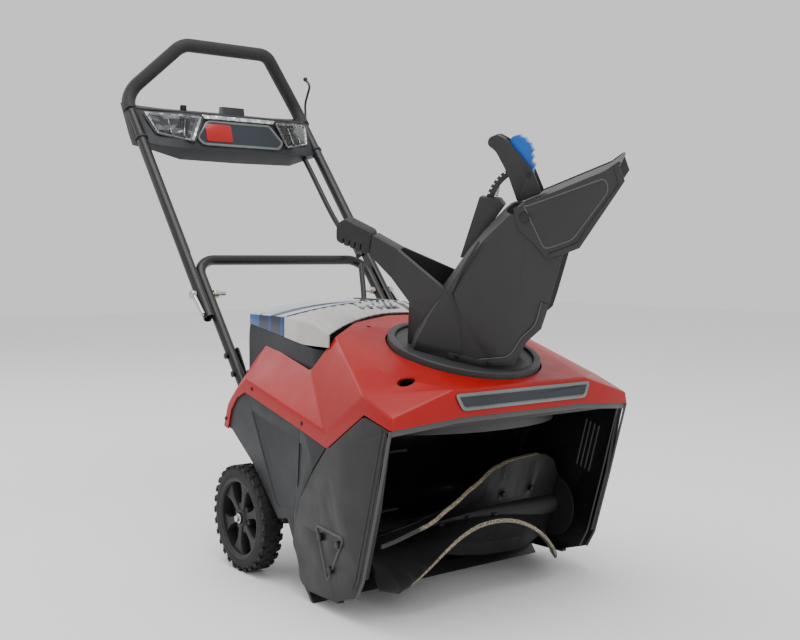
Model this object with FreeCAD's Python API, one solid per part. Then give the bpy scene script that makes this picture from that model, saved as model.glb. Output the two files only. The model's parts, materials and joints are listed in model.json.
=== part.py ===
import FreeCAD, Part
import math
import os
from FreeCAD import Vector as V

# Single-stage battery snow blower, millimetres.
# Working axes: X across the machine (the operator's right hand is at -X), Y rearward with 0 at the
# hood's front lower edge, Z up from the ground.  Every part is moved by FRAME_SHIFT when it is
# written, which puts the origin under the middle of the whole machine.
FRAME_SHIFT = V(0, -479.3, 0)

# --- driving dimensions ---------------------------------------------------------------------
HALF_WIDTH = 270.0          # outer face of a side plate
SHEET = 2.5                 # steel side plate
SKIN = 2.5                  # moulded hood wall

ROTOR_Y, ROTOR_Z = 168.0, 118.0
BLADE_R = 116.0             # outer edge of the rotor's blades
HOUSING_R = 124.0           # inner radius of the housing wrap
BLADE_T = 7.0
SHAFT_R = 9.0

COLLAR_Y, COLLAR_Z = 145.0, 442.0
COLLAR_TILT = 15.7          # forward tilt of the chute's turning plane, degrees
COLLAR_R = 139.0
COLLAR_BORE_R = 125.0
CHUTE_TURN = 40.0           # the chute stands turned this far from straight ahead
CHUTE_HALF = 90.0           # half width of the chute between its side walls
CHUTE_WALL = 3.0
TILT_S, TILT_H = 70.0, 262.0   # deflector pivot, in the chute's own frame

TUBE_ANGLE = 49.5           # rise of the handle tubes towards the rear, degrees
TUBE_Y, TUBE_Z = 873.9, 700.0  # a point on the handle tubes' line
TUBE_R, TUBE_WALL = 12.5, 1.8
LEG_R = 11.0
UPPER_X = 236.0             # upper tubes
LEG_X = 218.0               # lower handle legs, inside the upper tubes
FOLD_U = -235.0             # fold pivot along the tube line
LEG_BOLTS = (-395.0, -440.0)   # leg fixings along the tube line
LEG_FOOT_U, LEG_TOP_U = -474.0, -141.0   # ends of the legs along the tube line
GRIP_R = 16.0

WHEEL_Y, WHEEL_R = 480.0, 101.6
WHEEL_IN, WHEEL_OUT = 237.0, 283.0
AXLE_R = 6.0
FULL_HALF = 285.0           # half of the whole machine's width
BUSH_R = 9.0

BAY_HALF = 215.0
TUB_CHAMFER = 24.0          # the battery bay's cut-off corners, seen from above
LID_HINGE_Y, LID_HINGE_Z = 553.0, 475.0

MOTOR_Y, MOTOR_Z = 380.0, 215.0
ROTOR_PULLEY_R, MOTOR_PULLEY_R = 62.0, 20.0
BELT_X0, BELT_X1 = 272.5, 280.5

# --- small geometry helpers -----------------------------------------------------------------
X_AXIS, Y_AXIS, Z_AXIS = V(1, 0, 0), V(0, 1, 0), V(0, 0, 1)


def polygon(points):
    return Part.Face(Part.makePolygon(list(points) + [points[0]]))


def slab(outline, x0, x1):
    """A (y, z) outline stretched from x0 to x1."""
    return polygon([V(x0, y, z) for y, z in outline]).extrude(V(x1 - x0, 0, 0))


def rod(radius, x0, x1, y, z):
    """A round bar along X."""
    return Part.makeCylinder(radius, x1 - x0, V(x0, y, z), X_AXIS)


def pipe(outer, inner, x0, x1, y, z):
    return rod(outer, x0, x1, y, z).cut(rod(inner, x0 - 1, x1 + 1, y, z))


def both_sides(shape):
    return [shape, shape.mirror(V(0, 0, 0), X_AXIS)]


def group(shapes):
    return Part.makeCompound(shapes)


def fuse(shapes):
    return shapes[0].fuse(shapes[1:]).removeSplitter()


def rounded(outline, radius, steps=4):
    """The same closed outline with each corner turned into a short arc of points."""
    result = []
    count = len(outline)
    for i, corner in enumerate(outline):
        before, after = outline[i - 1], outline[(i + 1) % count]
        p, a, b = V(*corner, 0), V(*before, 0), V(*after, 0)
        cut = min(radius, 0.45 * (a - p).Length, 0.45 * (b - p).Length)
        start, end = p + (a - p).normalize() * cut, p + (b - p).normalize() * cut
        for k in range(steps + 1):
            t = k / steps
            q = start * (1 - t) ** 2 + p * (2 * t * (1 - t)) + end * t ** 2
            result.append((q.x, q.y))
    return result


def sheet_solid(points, triangles, thickness):
    """A thin wall: the triangles are its outer face and the wall grows away from their normals."""
    normals = [V(0, 0, 0) for _ in points]
    for a, b, c in triangles:
        n = (points[b] - points[a]).cross(points[c] - points[a]).normalize()
        for i, j, k in ((a, b, c), (b, c, a), (c, a, b)):
            angle = (points[j] - points[i]).getAngle(points[k] - points[i])
            normals[i] = normals[i] + n * angle
    inner = []
    for i, point in enumerate(points):
        direction = V(normals[i]).normalize()
        facing = [(points[b] - points[a]).cross(points[c] - points[a]).normalize().dot(direction)
                  for a, b, c in triangles if i in (a, b, c)]
        inner.append(point - direction * (thickness / max(min(facing), 0.55)))
    faces = []
    edges = {}
    for a, b, c in triangles:
        faces.append(polygon([points[a], points[b], points[c]]))
        faces.append(polygon([inner[c], inner[b], inner[a]]))
        for edge in ((a, b), (b, c), (c, a)):
            edges[edge] = edges.get(edge, 0) + 1
    for a, b in edges:
        if (b, a) not in edges:
            faces.append(polygon([points[b], points[a], inner[a]]))
            faces.append(polygon([points[b], inner[a], inner[b]]))
    solid = Part.makeSolid(Part.makeShell(faces))
    if solid.Volume < 0:
        solid.reverse()
    return solid


def grid_sheet(rows, thickness, close=False):
    """A wall over a grid of points; every row has the same number of points."""
    width = len(rows[0])
    points = [p for row in rows for p in row]
    triangles = []
    for r in range(len(rows) - 1):
        for c in range(width if close else width - 1):
            d = (c + 1) % width
            a, b = r * width + c, r * width + d
            e, f = (r + 1) * width + c, (r + 1) * width + d
            triangles += [(a, b, f), (a, f, e)]
    return sheet_solid(points, triangles, thickness)


def bent_path(points, radius):
    """Straight runs joined by tangent arcs."""
    edges = []
    at = points[0]
    for i in range(1, len(points) - 1):
        p = points[i]
        r = radius[i - 1] if isinstance(radius, (list, tuple)) else radius
        back, ahead = (points[i - 1] - p).normalize(), (points[i + 1] - p).normalize()
        half = back.getAngle(ahead) / 2
        reach = r / math.tan(half)
        start, end = p + back * reach, p + ahead * reach
        middle = p + (back + ahead).normalize() * (r / math.sin(half) - r)
        edges.append(Part.LineSegment(at, start).toShape())
        edges.append(Part.Arc(start, middle, end).toShape())
        at = end
    edges.append(Part.LineSegment(at, points[-1]).toShape())
    return Part.Wire(edges)


def round_bar(points, radius, bar_radius):
    path = bent_path(points, radius)
    direction = (points[1] - points[0]).normalize()
    profile = Part.Wire(Part.makeCircle(bar_radius, points[0], direction))
    return path.makePipeShell([profile], True, False)


def bent_tube(points, radius, outer, wall):
    return round_bar(points, radius, outer).cut(round_bar(points, radius, outer - wall))


def on_tube(x, u, w=0.0):
    """A point beside the handle tubes' line: u up along the tubes, w forward of them."""
    a = math.radians(TUBE_ANGLE)
    return V(x, TUBE_Y + u * math.cos(a) - w * math.sin(a), TUBE_Z + u * math.sin(a) + w * math.cos(a))


COLLAR_PLACE = FreeCAD.Placement(V(0, COLLAR_Y, COLLAR_Z), FreeCAD.Rotation(X_AXIS, COLLAR_TILT))
CHUTE_PLACE = COLLAR_PLACE.multiply(
    FreeCAD.Placement(V(0, 0, 0), FreeCAD.Rotation(Z_AXIS, CHUTE_TURN - 90.0)))


def placed(shape, placement):
    moved = shape.copy()
    moved.Placement = placement.multiply(moved.Placement)
    return moved


def on_collar(shape):
    return placed(shape, COLLAR_PLACE)


def on_chute(shape):
    """From the chute's own frame: X along the throw, Y across, Z up the turning axis."""
    return placed(shape, CHUTE_PLACE)


def chute_slab(outline, l0, l1):
    """An (s, h) outline in the chute's frame stretched across it."""
    return polygon([V(s, l0, h) for s, h in outline]).extrude(V(0, l1 - l0, 0))


def hex_bolt(centre, axis, across, head, length, shank):
    """A bolt whose head stands on centre and whose shank goes the other way."""
    bolt = Part.makeCylinder(across / 2, head, V(0, 0, 0), Z_AXIS, 360)
    flats = [V(across / 2 * math.cos(math.radians(60 * k)), across / 2 * math.sin(math.radians(60 * k)), 0)
             for k in range(6)]
    bolt = polygon(flats).extrude(V(0, 0, head)).common(bolt)
    bolt = bolt.fuse(Part.makeCylinder(shank, length, V(0, 0, -length), Z_AXIS))
    turn = FreeCAD.Rotation(Z_AXIS, axis)
    return placed(bolt, FreeCAD.Placement(centre, turn))


# --- auger housing --------------------------------------------------------------------------
PLATE_OUTLINE = [(2, 331), (71, 346.5), (180, 276.5), (225, 233), (264, 183), (286, 129), (295, 95),
                 (276, 68), (270, 33), (244, 21), (159, 24), (95, 45), (76, 77), (40, 196), (12, 326)]
MOUNT_TRIANGLE = [(214, 142), (131, 136), (179, 53)]
MOUNT_BOLTS = [(200, 125), (145, 123), (169, 75)]


def side_plate():
    plate = slab(rounded(PLATE_OUTLINE, 9, 3), HALF_WIDTH - SHEET, HALF_WIDTH)
    foot = slab([(150, 22), (242, 19.5), (242, 23), (150, 27)], HALF_WIDTH - 14, HALF_WIDTH - SHEET)
    lip = slab([(14, 320), (40, 198), (76, 80), (79, 81), (43, 199), (17, 321)],
               HALF_WIDTH - 12, HALF_WIDTH - SHEET)
    plate = fuse([plate, foot, lip])
    for y, z in MOUNT_BOLTS:
        plate = plate.cut(rod(4.0, HALF_WIDTH - 20, HALF_WIDTH + 5, y, z))
    return plate


def side_plate_left():
    plate = side_plate()
    return plate.cut(rod(SHAFT_R + 4, HALF_WIDTH - 5, HALF_WIDTH + 5, ROTOR_Y, ROTOR_Z))


def side_plate_right():
    return side_plate().mirror(V(0, 0, 0), X_AXIS)


def arc_points(cy, cz, radius, start, end, steps):
    return [(cy + radius * math.cos(math.radians(start + (end - start) * k / steps)),
             cz + radius * math.sin(math.radians(start + (end - start) * k / steps)))
            for k in range(steps + 1)]


DUCT_FOOT_X, DUCT_FOOT_Y = 194.0, 122.0


def oval_ring(rx, ry, cy, cz, rise, count=24):
    """Points round an oval whose height changes by rise for each millimetre rearward."""
    turns = [2 * math.pi * k / count for k in range(count)]
    return [V(rx * math.cos(a), cy + ry * math.sin(a), cz + ry * math.sin(a) * rise) for a in turns]


def auger_housing():
    """The steel wrap behind and over the rotor, with the round hole that feeds the chute."""
    edge = HALF_WIDTH - SHEET - 0.2
    inner = arc_points(ROTOR_Y, ROTOR_Z, HOUSING_R, -52, 20, 12) + [(272, 296)]
    outer = arc_points(ROTOR_Y, ROTOR_Z, HOUSING_R + 2, -52, 20, 12) + [(274.2, 298)]
    back = slab(inner + outer[::-1], -edge, edge)
    roof = slab([(6, 326), (272, 296), (274.2, 298), (6, 328.2)], 3 - edge, edge - 3)
    nose = slab([(4, 326), (7, 326), (7, 339), (4, 339)], -240, 240)
    rim = oval_ring(DUCT_FOOT_X + 1, DUCT_FOOT_Y + 1, 150, 250, 0)
    hole = polygon(rim).extrude(V(0, 0, 120))
    corner = [(120, 313.5), (272, 297), (284.5, 160.4), (258, 183), (219, 230), (176, 270)]
    gusset = slab(corner, edge - 4.5, edge - 2.5)
    return fuse([back, roof, nose] + both_sides(gusset)).cut(hole)


def scraper_bar():
    edge = HALF_WIDTH - SHEET - 2
    section = [(232, 0), (240, 0), (267, 27), (259.8, 31), (252.7, 24), (246, 18.3), (243.5, 15)]
    return slab(section, -edge, edge)


def inlet_duct():
    """The funnel between the wide housing roof and the round collar, open at both ends."""
    tilt = math.tan(math.radians(COLLAR_TILT))
    rows = [oval_ring(DUCT_FOOT_X, DUCT_FOOT_Y, 150, 303, -0.02),
            oval_ring(150, 122, 148, 370, 0.6 * tilt), oval_ring(118, 114, 145, 404, tilt)]
    return grid_sheet(rows, 3.0, close=True)


# --- hood -----------------------------------------------------------------------------------
def hood_top_z(y):
    return 431.0 + math.tan(math.radians(COLLAR_TILT)) * (y - COLLAR_Y)


STRIP_LOW = [(181, 279), (259, 298), (379, 325), (441, 339), (468, 344)]
STRIP_HIGH = [(185, 305), (255, 321), (340, 340), (410, 356), (466, 369)]
FENDER_IN = [(500, 330), (524, 304), (537, 266)]
FENDER_OUT = [(502, 347), (540, 313), (557, 270)]


def hood():
    w = HALF_WIDTH
    points = []
    names = {}

    def add(name, x, y, z):
        for side in (-1, 1):
            names[name, side] = len(points)
            points.append(V(side * x, y, z))

    add("shoulder", 150, -8, hood_top_z(-8))
    add("corner", 267, 0, 351)
    add("corner_low", w, -1, 332)
    add("mid_low", 140, -12, 343)
    add("notch", w, 71, 349)
    add("brow", 268, 75, 378)
    add("peak", 205, 250, hood_top_z(250))
    add("rear_mid", 120, 315, hood_top_z(315))
    add("rear_top", 25, 345, hood_top_z(345))
    add("waist", 221.5, 309, 396)
    add("fender_top", 221.5, 486, 422)
    for i, (y, z) in enumerate(STRIP_LOW):
        add(("low", i), w, y, z)
    for i, (y, z) in enumerate(STRIP_HIGH):
        add(("high", i), w, y, z)
    for i, (y, z) in enumerate(FENDER_IN):
        add(("in", i), w, y, z)
    for i, (y, z) in enumerate(FENDER_OUT):
        add(("out", i), w, y, z)
    add("fender_back", 223, 556, 318)

    half = [("shoulder", "corner", "brow"), ("shoulder", "brow", "peak"), ("shoulder", "peak", "rear_mid"),
            ("shoulder", "rear_mid", "rear_top"), ("shoulder", "mid_low", "corner"),
            ("mid_low", "corner_low", "corner"), ("corner", "corner_low", "notch"),
            ("corner", "notch", "brow"), ("brow", "notch", ("low", 0)), ("brow", ("low", 0), ("high", 0)),
            ("brow", ("high", 0), "waist"), ("brow", "waist", "peak"),
            ("waist", ("high", 4), "fender_top"), ("fender_top", ("high", 4), ("out", 0)),
            ("fender_top", ("out", 0), ("out", 1)), ("fender_top", ("out", 1), "fender_back"),
            ("fender_back", ("out", 1), ("out", 2))]
    for i in range(4):
        half += [(("high", i), ("low", i), ("low", i + 1)), (("high", i), ("low", i + 1), ("high", i + 1))]
        half += [("waist", ("high", i), ("high", i + 1))]
    half += [(("high", 4), ("low", 4), ("in", 0)), (("high", 4), ("in", 0), ("out", 0))]
    for i in range(2):
        half += [(("out", i), ("in", i), ("in", i + 1)), (("out", i), ("in", i + 1), ("out", i + 1))]

    triangles = []
    for a, b, c in half:
        triangles.append((names[a, 1], names[b, 1], names[c, 1]))
        triangles.append((names[a, -1], names[c, -1], names[b, -1]))
    left, right = -1, 1
    triangles += [(names["shoulder", left], names["mid_low", left], names["mid_low", right]),
                  (names["shoulder", left], names["mid_low", right], names["shoulder", right]),
                  (names["shoulder", left], names["shoulder", right], names["rear_top", right]),
                  (names["shoulder", left], names["rear_top", right], names["rear_top", left])]
    cover = sheet_solid(points, triangles, SKIN)
    opening = on_collar(Part.makeCylinder(COLLAR_R + 3, 60, V(0, 0, -40)))
    oval = Part.makeCylinder(9, 60, V(-193, 62, 340))
    for x, y in ((w, 0), (-w, 0)):
        for sy, sz in ((262, 311), (440, 353), (545, 285)):
            cover = cover.cut(rod(2.2, x - 8, x + 8, sy, sz))
    return cover.cut(opening).cut(oval)


def housing_screws():
    """Screws through the hood's edge strip on both sides."""
    one_side = []
    for y, z in ((262, 311), (440, 353), (545, 285)):
        one_side.append(hex_bolt(V(HALF_WIDTH + 0.1, y, z), X_AXIS, 7.5, 1.5, 6, 2.0))
    return group([s for screw in one_side for s in both_sides(screw)])


def hood_emblem_plate():
    upper, lower = [(-150, 380), (150, 380)], [(140, 354), (-140, 354)]
    face = [V(x, -14.5 + (z - 343) * 0.09, z) for x, z in lower + upper]
    return polygon(face).extrude(V(0, -2.0, 0))


HARNESS_R = 6.5
HARNESS_X = 93.5            # where the control harness enters the body

# --- side and rear covers -------------------------------------------------------------------
PANEL_OUTLINE = [(176, 284), (259, 305), (379, 332), (441, 346), (466, 350), (500, 336), (527, 306),
                 (537, 268), (525, 266), (443, 213), (349, 126), (317, 133), (297, 98), (289, 130),
                 (267, 185), (228.5, 237.5), (182.5, 283)]
CRADLE_X = 203.0            # inner face of the cradle's cheeks
PANEL_PRESS = [(447, 314), (238, 268), (304, 155), (353, 148)]


def side_panel(side):
    outer = HALF_WIDTH - SKIN - 0.3
    panel = slab(PANEL_OUTLINE[1:-1] + [(186, 282)], outer - 3, outer)
    bead = slab(rounded(PANEL_PRESS, 12, 3), outer - 5, outer - 1.2)
    panel = panel.cut(slab(rounded(PANEL_PRESS, 12, 3), outer - 1.2, outer + 1)).fuse(bead)
    inboard = CRADLE_X + 4.2
    rim = [(537, 268), (525, 266), (443, 213), (349, 126), (317, 133)]
    turned = [(536, 271), (524, 269), (441, 215.5), (348.2, 129.5), (318, 136)]
    panel = fuse([panel, slab(rim + turned[::-1], inboard, outer - 1)])
    panel = panel.cut(auger_housing())
    if side > 0:
        return panel.cut(rod(16, outer - 10, outer + 10, MOTOR_Y, MOTOR_Z))
    return panel.mirror(V(0, 0, 0), X_AXIS)


def rear_cover():
    """The belly pan and back wall between the two side panels."""
    line = [(297, 117), (350, 132), (446, 218), (530, 272), (566, 300), (584, 372)]
    inner = [(297, 120.5), (349, 135.3), (444, 221.5), (528, 275.5), (563.5, 302), (581, 372)]
    half = CRADLE_X - 0.4
    pan = slab(line + inner[::-1], -half, half)
    along = V(0, 0.66, 0.75)
    gland = Part.makeCylinder(10.5, 21, V(HARNESS_X, 572, 346), along)
    gland = gland.cut(slab([(500, 290), (563.5, 302), (581, 372), (560, 420)], 70, 120))
    bore = Part.makeCylinder(HARNESS_R + 0.1, 60, V(HARNESS_X, 560, 332.4), along)
    pan = fuse([pan, gland]).cut(bore)
    return pan


# --- chute collar ---------------------------------------------------------------------------
def chute_collar():
    rim = Part.makeCylinder(COLLAR_R, 34, V(0, 0, -34)).cut(
        Part.makeCylinder(COLLAR_BORE_R, 40, V(0, 0, -25)))
    rim = rim.cut(Part.makeCylinder(109, 40, V(0, 0, -38)))
    edges = [e for e in rim.Edges if abs(e.BoundBox.ZMax) < 0.01 and abs(e.BoundBox.ZMin) < 0.01]
    rim = rim.makeFillet(3.0, edges)
    return on_collar(rim)


# --- battery bay ----------------------------------------------------------------------------
TUB_OUTLINE = [(284, 431), (545, 468), (575, 362), (562, 330), (300, 288)]


def plan_block(half, y0, y1, chamfer, z0, z1):
    corners = [(-half + chamfer, y0), (half - chamfer, y0), (half, y0 + chamfer), (half, y1 - chamfer),
               (half - chamfer, y1), (-half + chamfer, y1), (-half, y1 - chamfer), (-half, y0 + chamfer)]
    return polygon([V(x, y, z0) for x, y in rounded(corners, 8, 3)]).extrude(V(0, 0, z1 - z0))


def battery_tub():
    outer = slab(TUB_OUTLINE, -BAY_HALF, BAY_HALF).common(
        plan_block(BAY_HALF, 283, 577, TUB_CHAMFER, 200, 520))
    hollow = [(288, 435), (542, 472), (571.5, 362), (559, 333.5), (303.5, 291.5)]
    inner = slab(hollow, -BAY_HALF + 3, BAY_HALF - 3).common(
        plan_block(BAY_HALF - 3, 286, 573.5, TUB_CHAMFER, 200, 520))
    return outer.cut(inner)


def battery_packs():
    packs = []
    for x0 in (-196, -64, 68):
        body = slab([(330, 300), (520, 328), (505, 437), (345, 417)], x0, x0 + 126)
        body = body.makeFillet(5, body.Edges)
        packs.append(body)
    return group(packs)


LID_SPLIT_Y = 412.0
LID_CROWN = 24.0            # height of the lid's middle over its sides


def lid_edge_z(y):
    """Height of the lid's upper side edge."""
    return 470 + 19 * math.sin(min(1.0, (y - 250) / 250.0) * math.pi / 2)


def lid_front_y(x):
    return 352 - 92 * (abs(x) / BAY_HALF) ** 1.6


def lid_front_dip(x, run):
    """The lid slopes down to the hood over its front 60 mm; run is the distance behind its front edge."""
    rise = max(0.0, 1 - run / 60.0)
    return (9 + 4 * (1 - (x / BAY_HALF) ** 2)) * rise ** 1.5


def lid_surface(y_low, y_high, drop):
    rows = []
    xs = [-215, -214, -190, -140, -70, 0, 70, 140, 190, 214, 215]
    for k in range(5):
        row = []
        for i, x in enumerate(xs):
            front = max(lid_front_y(x), y_low(x))
            y = front + (y_high(x) - front) * k / 4
            z = lid_edge_z(y) + LID_CROWN * (1 - (x / BAY_HALF) ** 2) - lid_front_dip(x, y - lid_front_y(x))
            if i in (0, len(xs) - 1):
                z = lid_edge_z(y) - drop(y)
            row.append(V(x, y, z))
        rows.append(row)
    return rows


def skirt_drop(y):
    """How far the lid's side hangs down to the tub's sloping rim."""
    rim = 431 + (y - 284) * 37 / 261.0
    return lid_edge_z(y) - max(rim + 0.6, 440)


def battery_lid():
    """The ribbed front part of the lid."""
    rows = lid_surface(lambda x: 0, lambda x: LID_SPLIT_Y - 0.3, skirt_drop)
    return grid_sheet(rows, 3.0)


def lid_window():
    """The clear rear part of the lid with its hinge knuckles."""
    rows = lid_surface(lambda x: LID_SPLIT_Y, lambda x: 540, skirt_drop)
    rows.append([V(p.x, 546, 472.4) for p in rows[-1]])
    top = grid_sheet(rows, 3.0)
    knuckles = []
    for x0 in (-150, 110):
        knuckles.append(pipe(7, 3.05, x0, x0 + 40, LID_HINGE_Y, LID_HINGE_Z))
        knuckles.append(slab([(542, 470.5), (548, 468), (548, 480), (542.5, 482)], x0, x0 + 40))
    body = fuse([top] + knuckles)
    return body.cut(fuse([rod(3.05, x0 - 1, x0 + 41, LID_HINGE_Y, LID_HINGE_Z) for x0 in (-150, 110)]))


def lid_hinge_pins():
    pins = []
    for x0 in (-160, 100):
        pin = rod(3.0, x0, x0 + 60, LID_HINGE_Y, LID_HINGE_Z)
        for side in (x0 + 3, x0 + 52):
            ear = pipe(6, 2.8, side, side + 5, LID_HINGE_Y, LID_HINGE_Z)
            foot = slab([(549.6, 453), (553, 453), (558, 471), (549, 473), (545.4, 468.3)], side, side + 5)
            pin = pin.fuse(ear).fuse(foot)
        pins.append(pin.removeSplitter())
    return group(pins)


# --- frame, motor and belt drive ------------------------------------------------------------
def cradle_frame():
    """Two steel cheeks with a cross tube; they carry the motor, the axle and the handle's legs."""
    cheek = [(292, 150), (420, 92), (470, 84), (494, 92), (500, 112), (470, 190), (553, 262),
             (600, 352), (634, 404), (618, 420), (585, 372), (571, 332), (540, 290), (440, 262), (300, 262)]
    plates = both_sides(slab(rounded(cheek, 10, 3), CRADLE_X, CRADLE_X + 3.5))
    axle_tube = pipe(12, AXLE_R, -CRADLE_X - 3.5, CRADLE_X + 3.5, WHEEL_Y, WHEEL_R)
    brace = pipe(10, 8, -CRADLE_X, CRADLE_X, 330, 235)
    frame = fuse(plates + [brace])
    frame = frame.cut(rod(12, -300, 300, WHEEL_Y, WHEEL_R)).fuse(axle_tube).removeSplitter()
    for u in LEG_BOLTS:
        p = on_tube(0, u)
        frame = frame.cut(rod(3.9, -300, 300, p.y, p.z))
    return frame.cut(rod(14, CRADLE_X - 5, CRADLE_X + 10, MOTOR_Y, MOTOR_Z))


def drive_motor():
    body = rod(34, 60, CRADLE_X - 0.5, MOTOR_Y, MOTOR_Z)
    fins = [pipe(37, 33, x, x + 3, MOTOR_Y, MOTOR_Z) for x in range(70, 190, 12)]
    body = fuse([body] + fins + [rod(24, 48, 61, MOTOR_Y, MOTOR_Z)])
    return body.cut(rod(8.6, 150, CRADLE_X + 5, MOTOR_Y, MOTOR_Z))


def motor_pulley():
    shaft = rod(8.0, 152, BELT_X1 + 1, MOTOR_Y, MOTOR_Z)
    core = rod(MOTOR_PULLEY_R, BELT_X0 - 0.3, BELT_X1 + 0.3, MOTOR_Y, MOTOR_Z)
    rims = [rod(MOTOR_PULLEY_R + 5, BELT_X0 - 1.4, BELT_X0 - 0.3, MOTOR_Y, MOTOR_Z),
            rod(MOTOR_PULLEY_R + 5, BELT_X1 + 0.3, BELT_X1 + 1.0, MOTOR_Y, MOTOR_Z)]
    return fuse([shaft, core] + rims)


def rotor_pulley():
    core = rod(ROTOR_PULLEY_R, BELT_X0 - 0.3, BELT_X1 + 0.3, ROTOR_Y, ROTOR_Z)
    rims = [rod(ROTOR_PULLEY_R + 5, BELT_X0 - 1.4, BELT_X0 - 0.3, ROTOR_Y, ROTOR_Z),
            rod(ROTOR_PULLEY_R + 5, BELT_X1 + 0.3, BELT_X1 + 1.0, ROTOR_Y, ROTOR_Z)]
    wheel = fuse([core] + rims)
    for k in range(5):
        a = math.radians(72 * k)
        wheel = wheel.cut(rod(13, BELT_X0 - 5, BELT_X1 + 5, ROTOR_Y + 36 * math.cos(a),
                              ROTOR_Z + 36 * math.sin(a)))
    return wheel.cut(rod(SHAFT_R, BELT_X0 - 5, BELT_X1 + 5, ROTOR_Y, ROTOR_Z))


def belt_loop(grow):
    """The convex outline round both pulleys, grown outward, as a face across the belt."""
    big = Part.makeCylinder(ROTOR_PULLEY_R + grow, 1, V(0, ROTOR_Y, ROTOR_Z), X_AXIS)
    dy, dz = MOTOR_Y - ROTOR_Y, MOTOR_Z - ROTOR_Z
    span = math.hypot(dy, dz)
    lean = math.acos((ROTOR_PULLEY_R - MOTOR_PULLEY_R) / span)
    base = math.atan2(dz, dy)
    corners = []
    for cy, cz, r, sign in ((ROTOR_Y, ROTOR_Z, ROTOR_PULLEY_R + grow, 1),
                            (MOTOR_Y, MOTOR_Z, MOTOR_PULLEY_R + grow, 1),
                            (MOTOR_Y, MOTOR_Z, MOTOR_PULLEY_R + grow, -1),
                            (ROTOR_Y, ROTOR_Z, ROTOR_PULLEY_R + grow, -1)):
        a = base + sign * lean
        corners.append((cy + r * math.cos(a), cz + r * math.sin(a)))
    web = slab(corners, 0, 1)
    small = Part.makeCylinder(MOTOR_PULLEY_R + grow, 1, V(0, MOTOR_Y, MOTOR_Z), X_AXIS)
    return fuse([big, web, small])


def stretched_loop(grow, x0, x1):
    loop = belt_loop(grow)
    matrix = FreeCAD.Matrix(x1 - x0, 0, 0, x0, 0, 1, 0, 0, 0, 0, 1, 0, 0, 0, 0, 1)
    return loop.transformGeometry(matrix)


def drive_belt():
    return stretched_loop(4.0, BELT_X0, BELT_X1).cut(stretched_loop(0.35, BELT_X0 - 1, BELT_X1 + 1))


def belt_cover():
    shell = stretched_loop(10.5, HALF_WIDTH + 0.3, FULL_HALF).cut(stretched_loop(8.5, HALF_WIDTH - 1, 283.2))
    return shell


def rotor_bearings():
    """Flanged ball bearings on the inner faces of the side plates."""
    body = pipe(15.5, SHAFT_R + 0.05, HALF_WIDTH - 14.5, HALF_WIDTH - SHEET - 0.02, ROTOR_Y, ROTOR_Z)
    flange = slab(rounded(MOUNT_TRIANGLE, 14, 3), HALF_WIDTH - SHEET - 3, HALF_WIDTH - SHEET - 0.02)
    body = body.fuse(flange).cut(rod(SHAFT_R + 0.05, 200, 300, ROTOR_Y, ROTOR_Z))
    for y, z in MOUNT_BOLTS:
        body = body.cut(rod(4.0, HALF_WIDTH - 20, HALF_WIDTH + 5, y, z))
    return group(both_sides(body))


def frame_bolts():
    """Bearing bolts, with their heads inside on the belt side, and the bolts that hold the handle legs."""
    bolts = []
    for y, z in MOUNT_BOLTS:
        bolts.append(hex_bolt(V(-HALF_WIDTH - 0.05, y, z), V(-1, 0, 0), 14, 5, 9, 3.9))
        bolts.append(hex_bolt(V(HALF_WIDTH - SHEET - 3.1, y, z), V(-1, 0, 0), 14, 5, 5.4, 3.9))
    for u in LEG_BOLTS:
        p = on_tube(LEG_X + LEG_R + 0.2, u)
        bolts += both_sides(hex_bolt(p, X_AXIS, 13, 5, 2 * LEG_R + 8, 3.9))
    return group(bolts)


def wheel_axle():
    axle = rod(AXLE_R - 0.02, -FULL_HALF, FULL_HALF, WHEEL_Y, WHEEL_R)
    cap = rod(9.5, WHEEL_OUT - 5.5, WHEEL_OUT - 3.5, WHEEL_Y, WHEEL_R)
    return fuse([axle] + both_sides(cap))


# --- rotor ----------------------------------------------------------------------------------
def rotor_shaft():
    return rod(SHAFT_R, -HALF_WIDTH + 5, BELT_X1 + 1, ROTOR_Y, ROTOR_Z)


def blend(stations, x):
    """Value at x, read off (x, value) stations with smooth steps between them."""
    for (x0, v0), (x1, v1) in zip(stations, stations[1:]):
        if x <= x1:
            t = max(0.0, (x - x0) / (x1 - x0))
            t = t * t * (3 - 2 * t) * 0.35 + t * 0.65
            return v0 + (v1 - v0) * t
    return stations[-1][1]


def arched_turn(x):
    """Angle of the front blade round the shaft: level in the middle, curling down towards both ends."""
    return 168.5 + 16 * (abs(x + 8) / 105) ** 2.2


def swept_turn(x):
    """Angle of the rear blade, which sweeps up to its right-hand end."""
    return blend([(-240, 172), (-147, 161), (-90, 149), (-26, 135), (48, 118), (101, 110), (160, 107),
                  (238, 107)], x)


# A blade's reach is how far its edge stands from the shaft; its half on the far side is cut shorter.
# Its steel bar lies on the side that faces away from the other blade.
FRONT_BLADE = {"bar_side": 1, "turn": arched_turn, "ends": (-208, 200),
               "reach": [(-208, 92), (-192, 112), (-176, BLADE_R), (170, BLADE_R), (188, 110), (200, 92)],
               "far_reach": [(-208, 70), (-180, 84), (170, 84), (200, 66)], "bolts": (-70, -8, 54)}
REAR_BLADE = {"bar_side": -1, "turn": swept_turn, "ends": (-240, 238),
              "reach": [(-240, 104), (-160, BLADE_R), (170, BLADE_R), (194, 112), (212, 103), (226, 88),
                        (238, 66)],
              "far_reach": [(-240, 84), (-160, 90), (190, 90), (238, 62)], "bolts": (-120, 96, 170)}


def blade_axes(spec, x, flip):
    """The blade's centre on the shaft at x, its outward direction and the direction across it."""
    a = math.radians(spec["turn"](x) + flip)
    return V(x, ROTOR_Y, ROTOR_Z), V(0, math.cos(a), math.sin(a)), V(0, -math.sin(a), math.cos(a))


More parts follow.
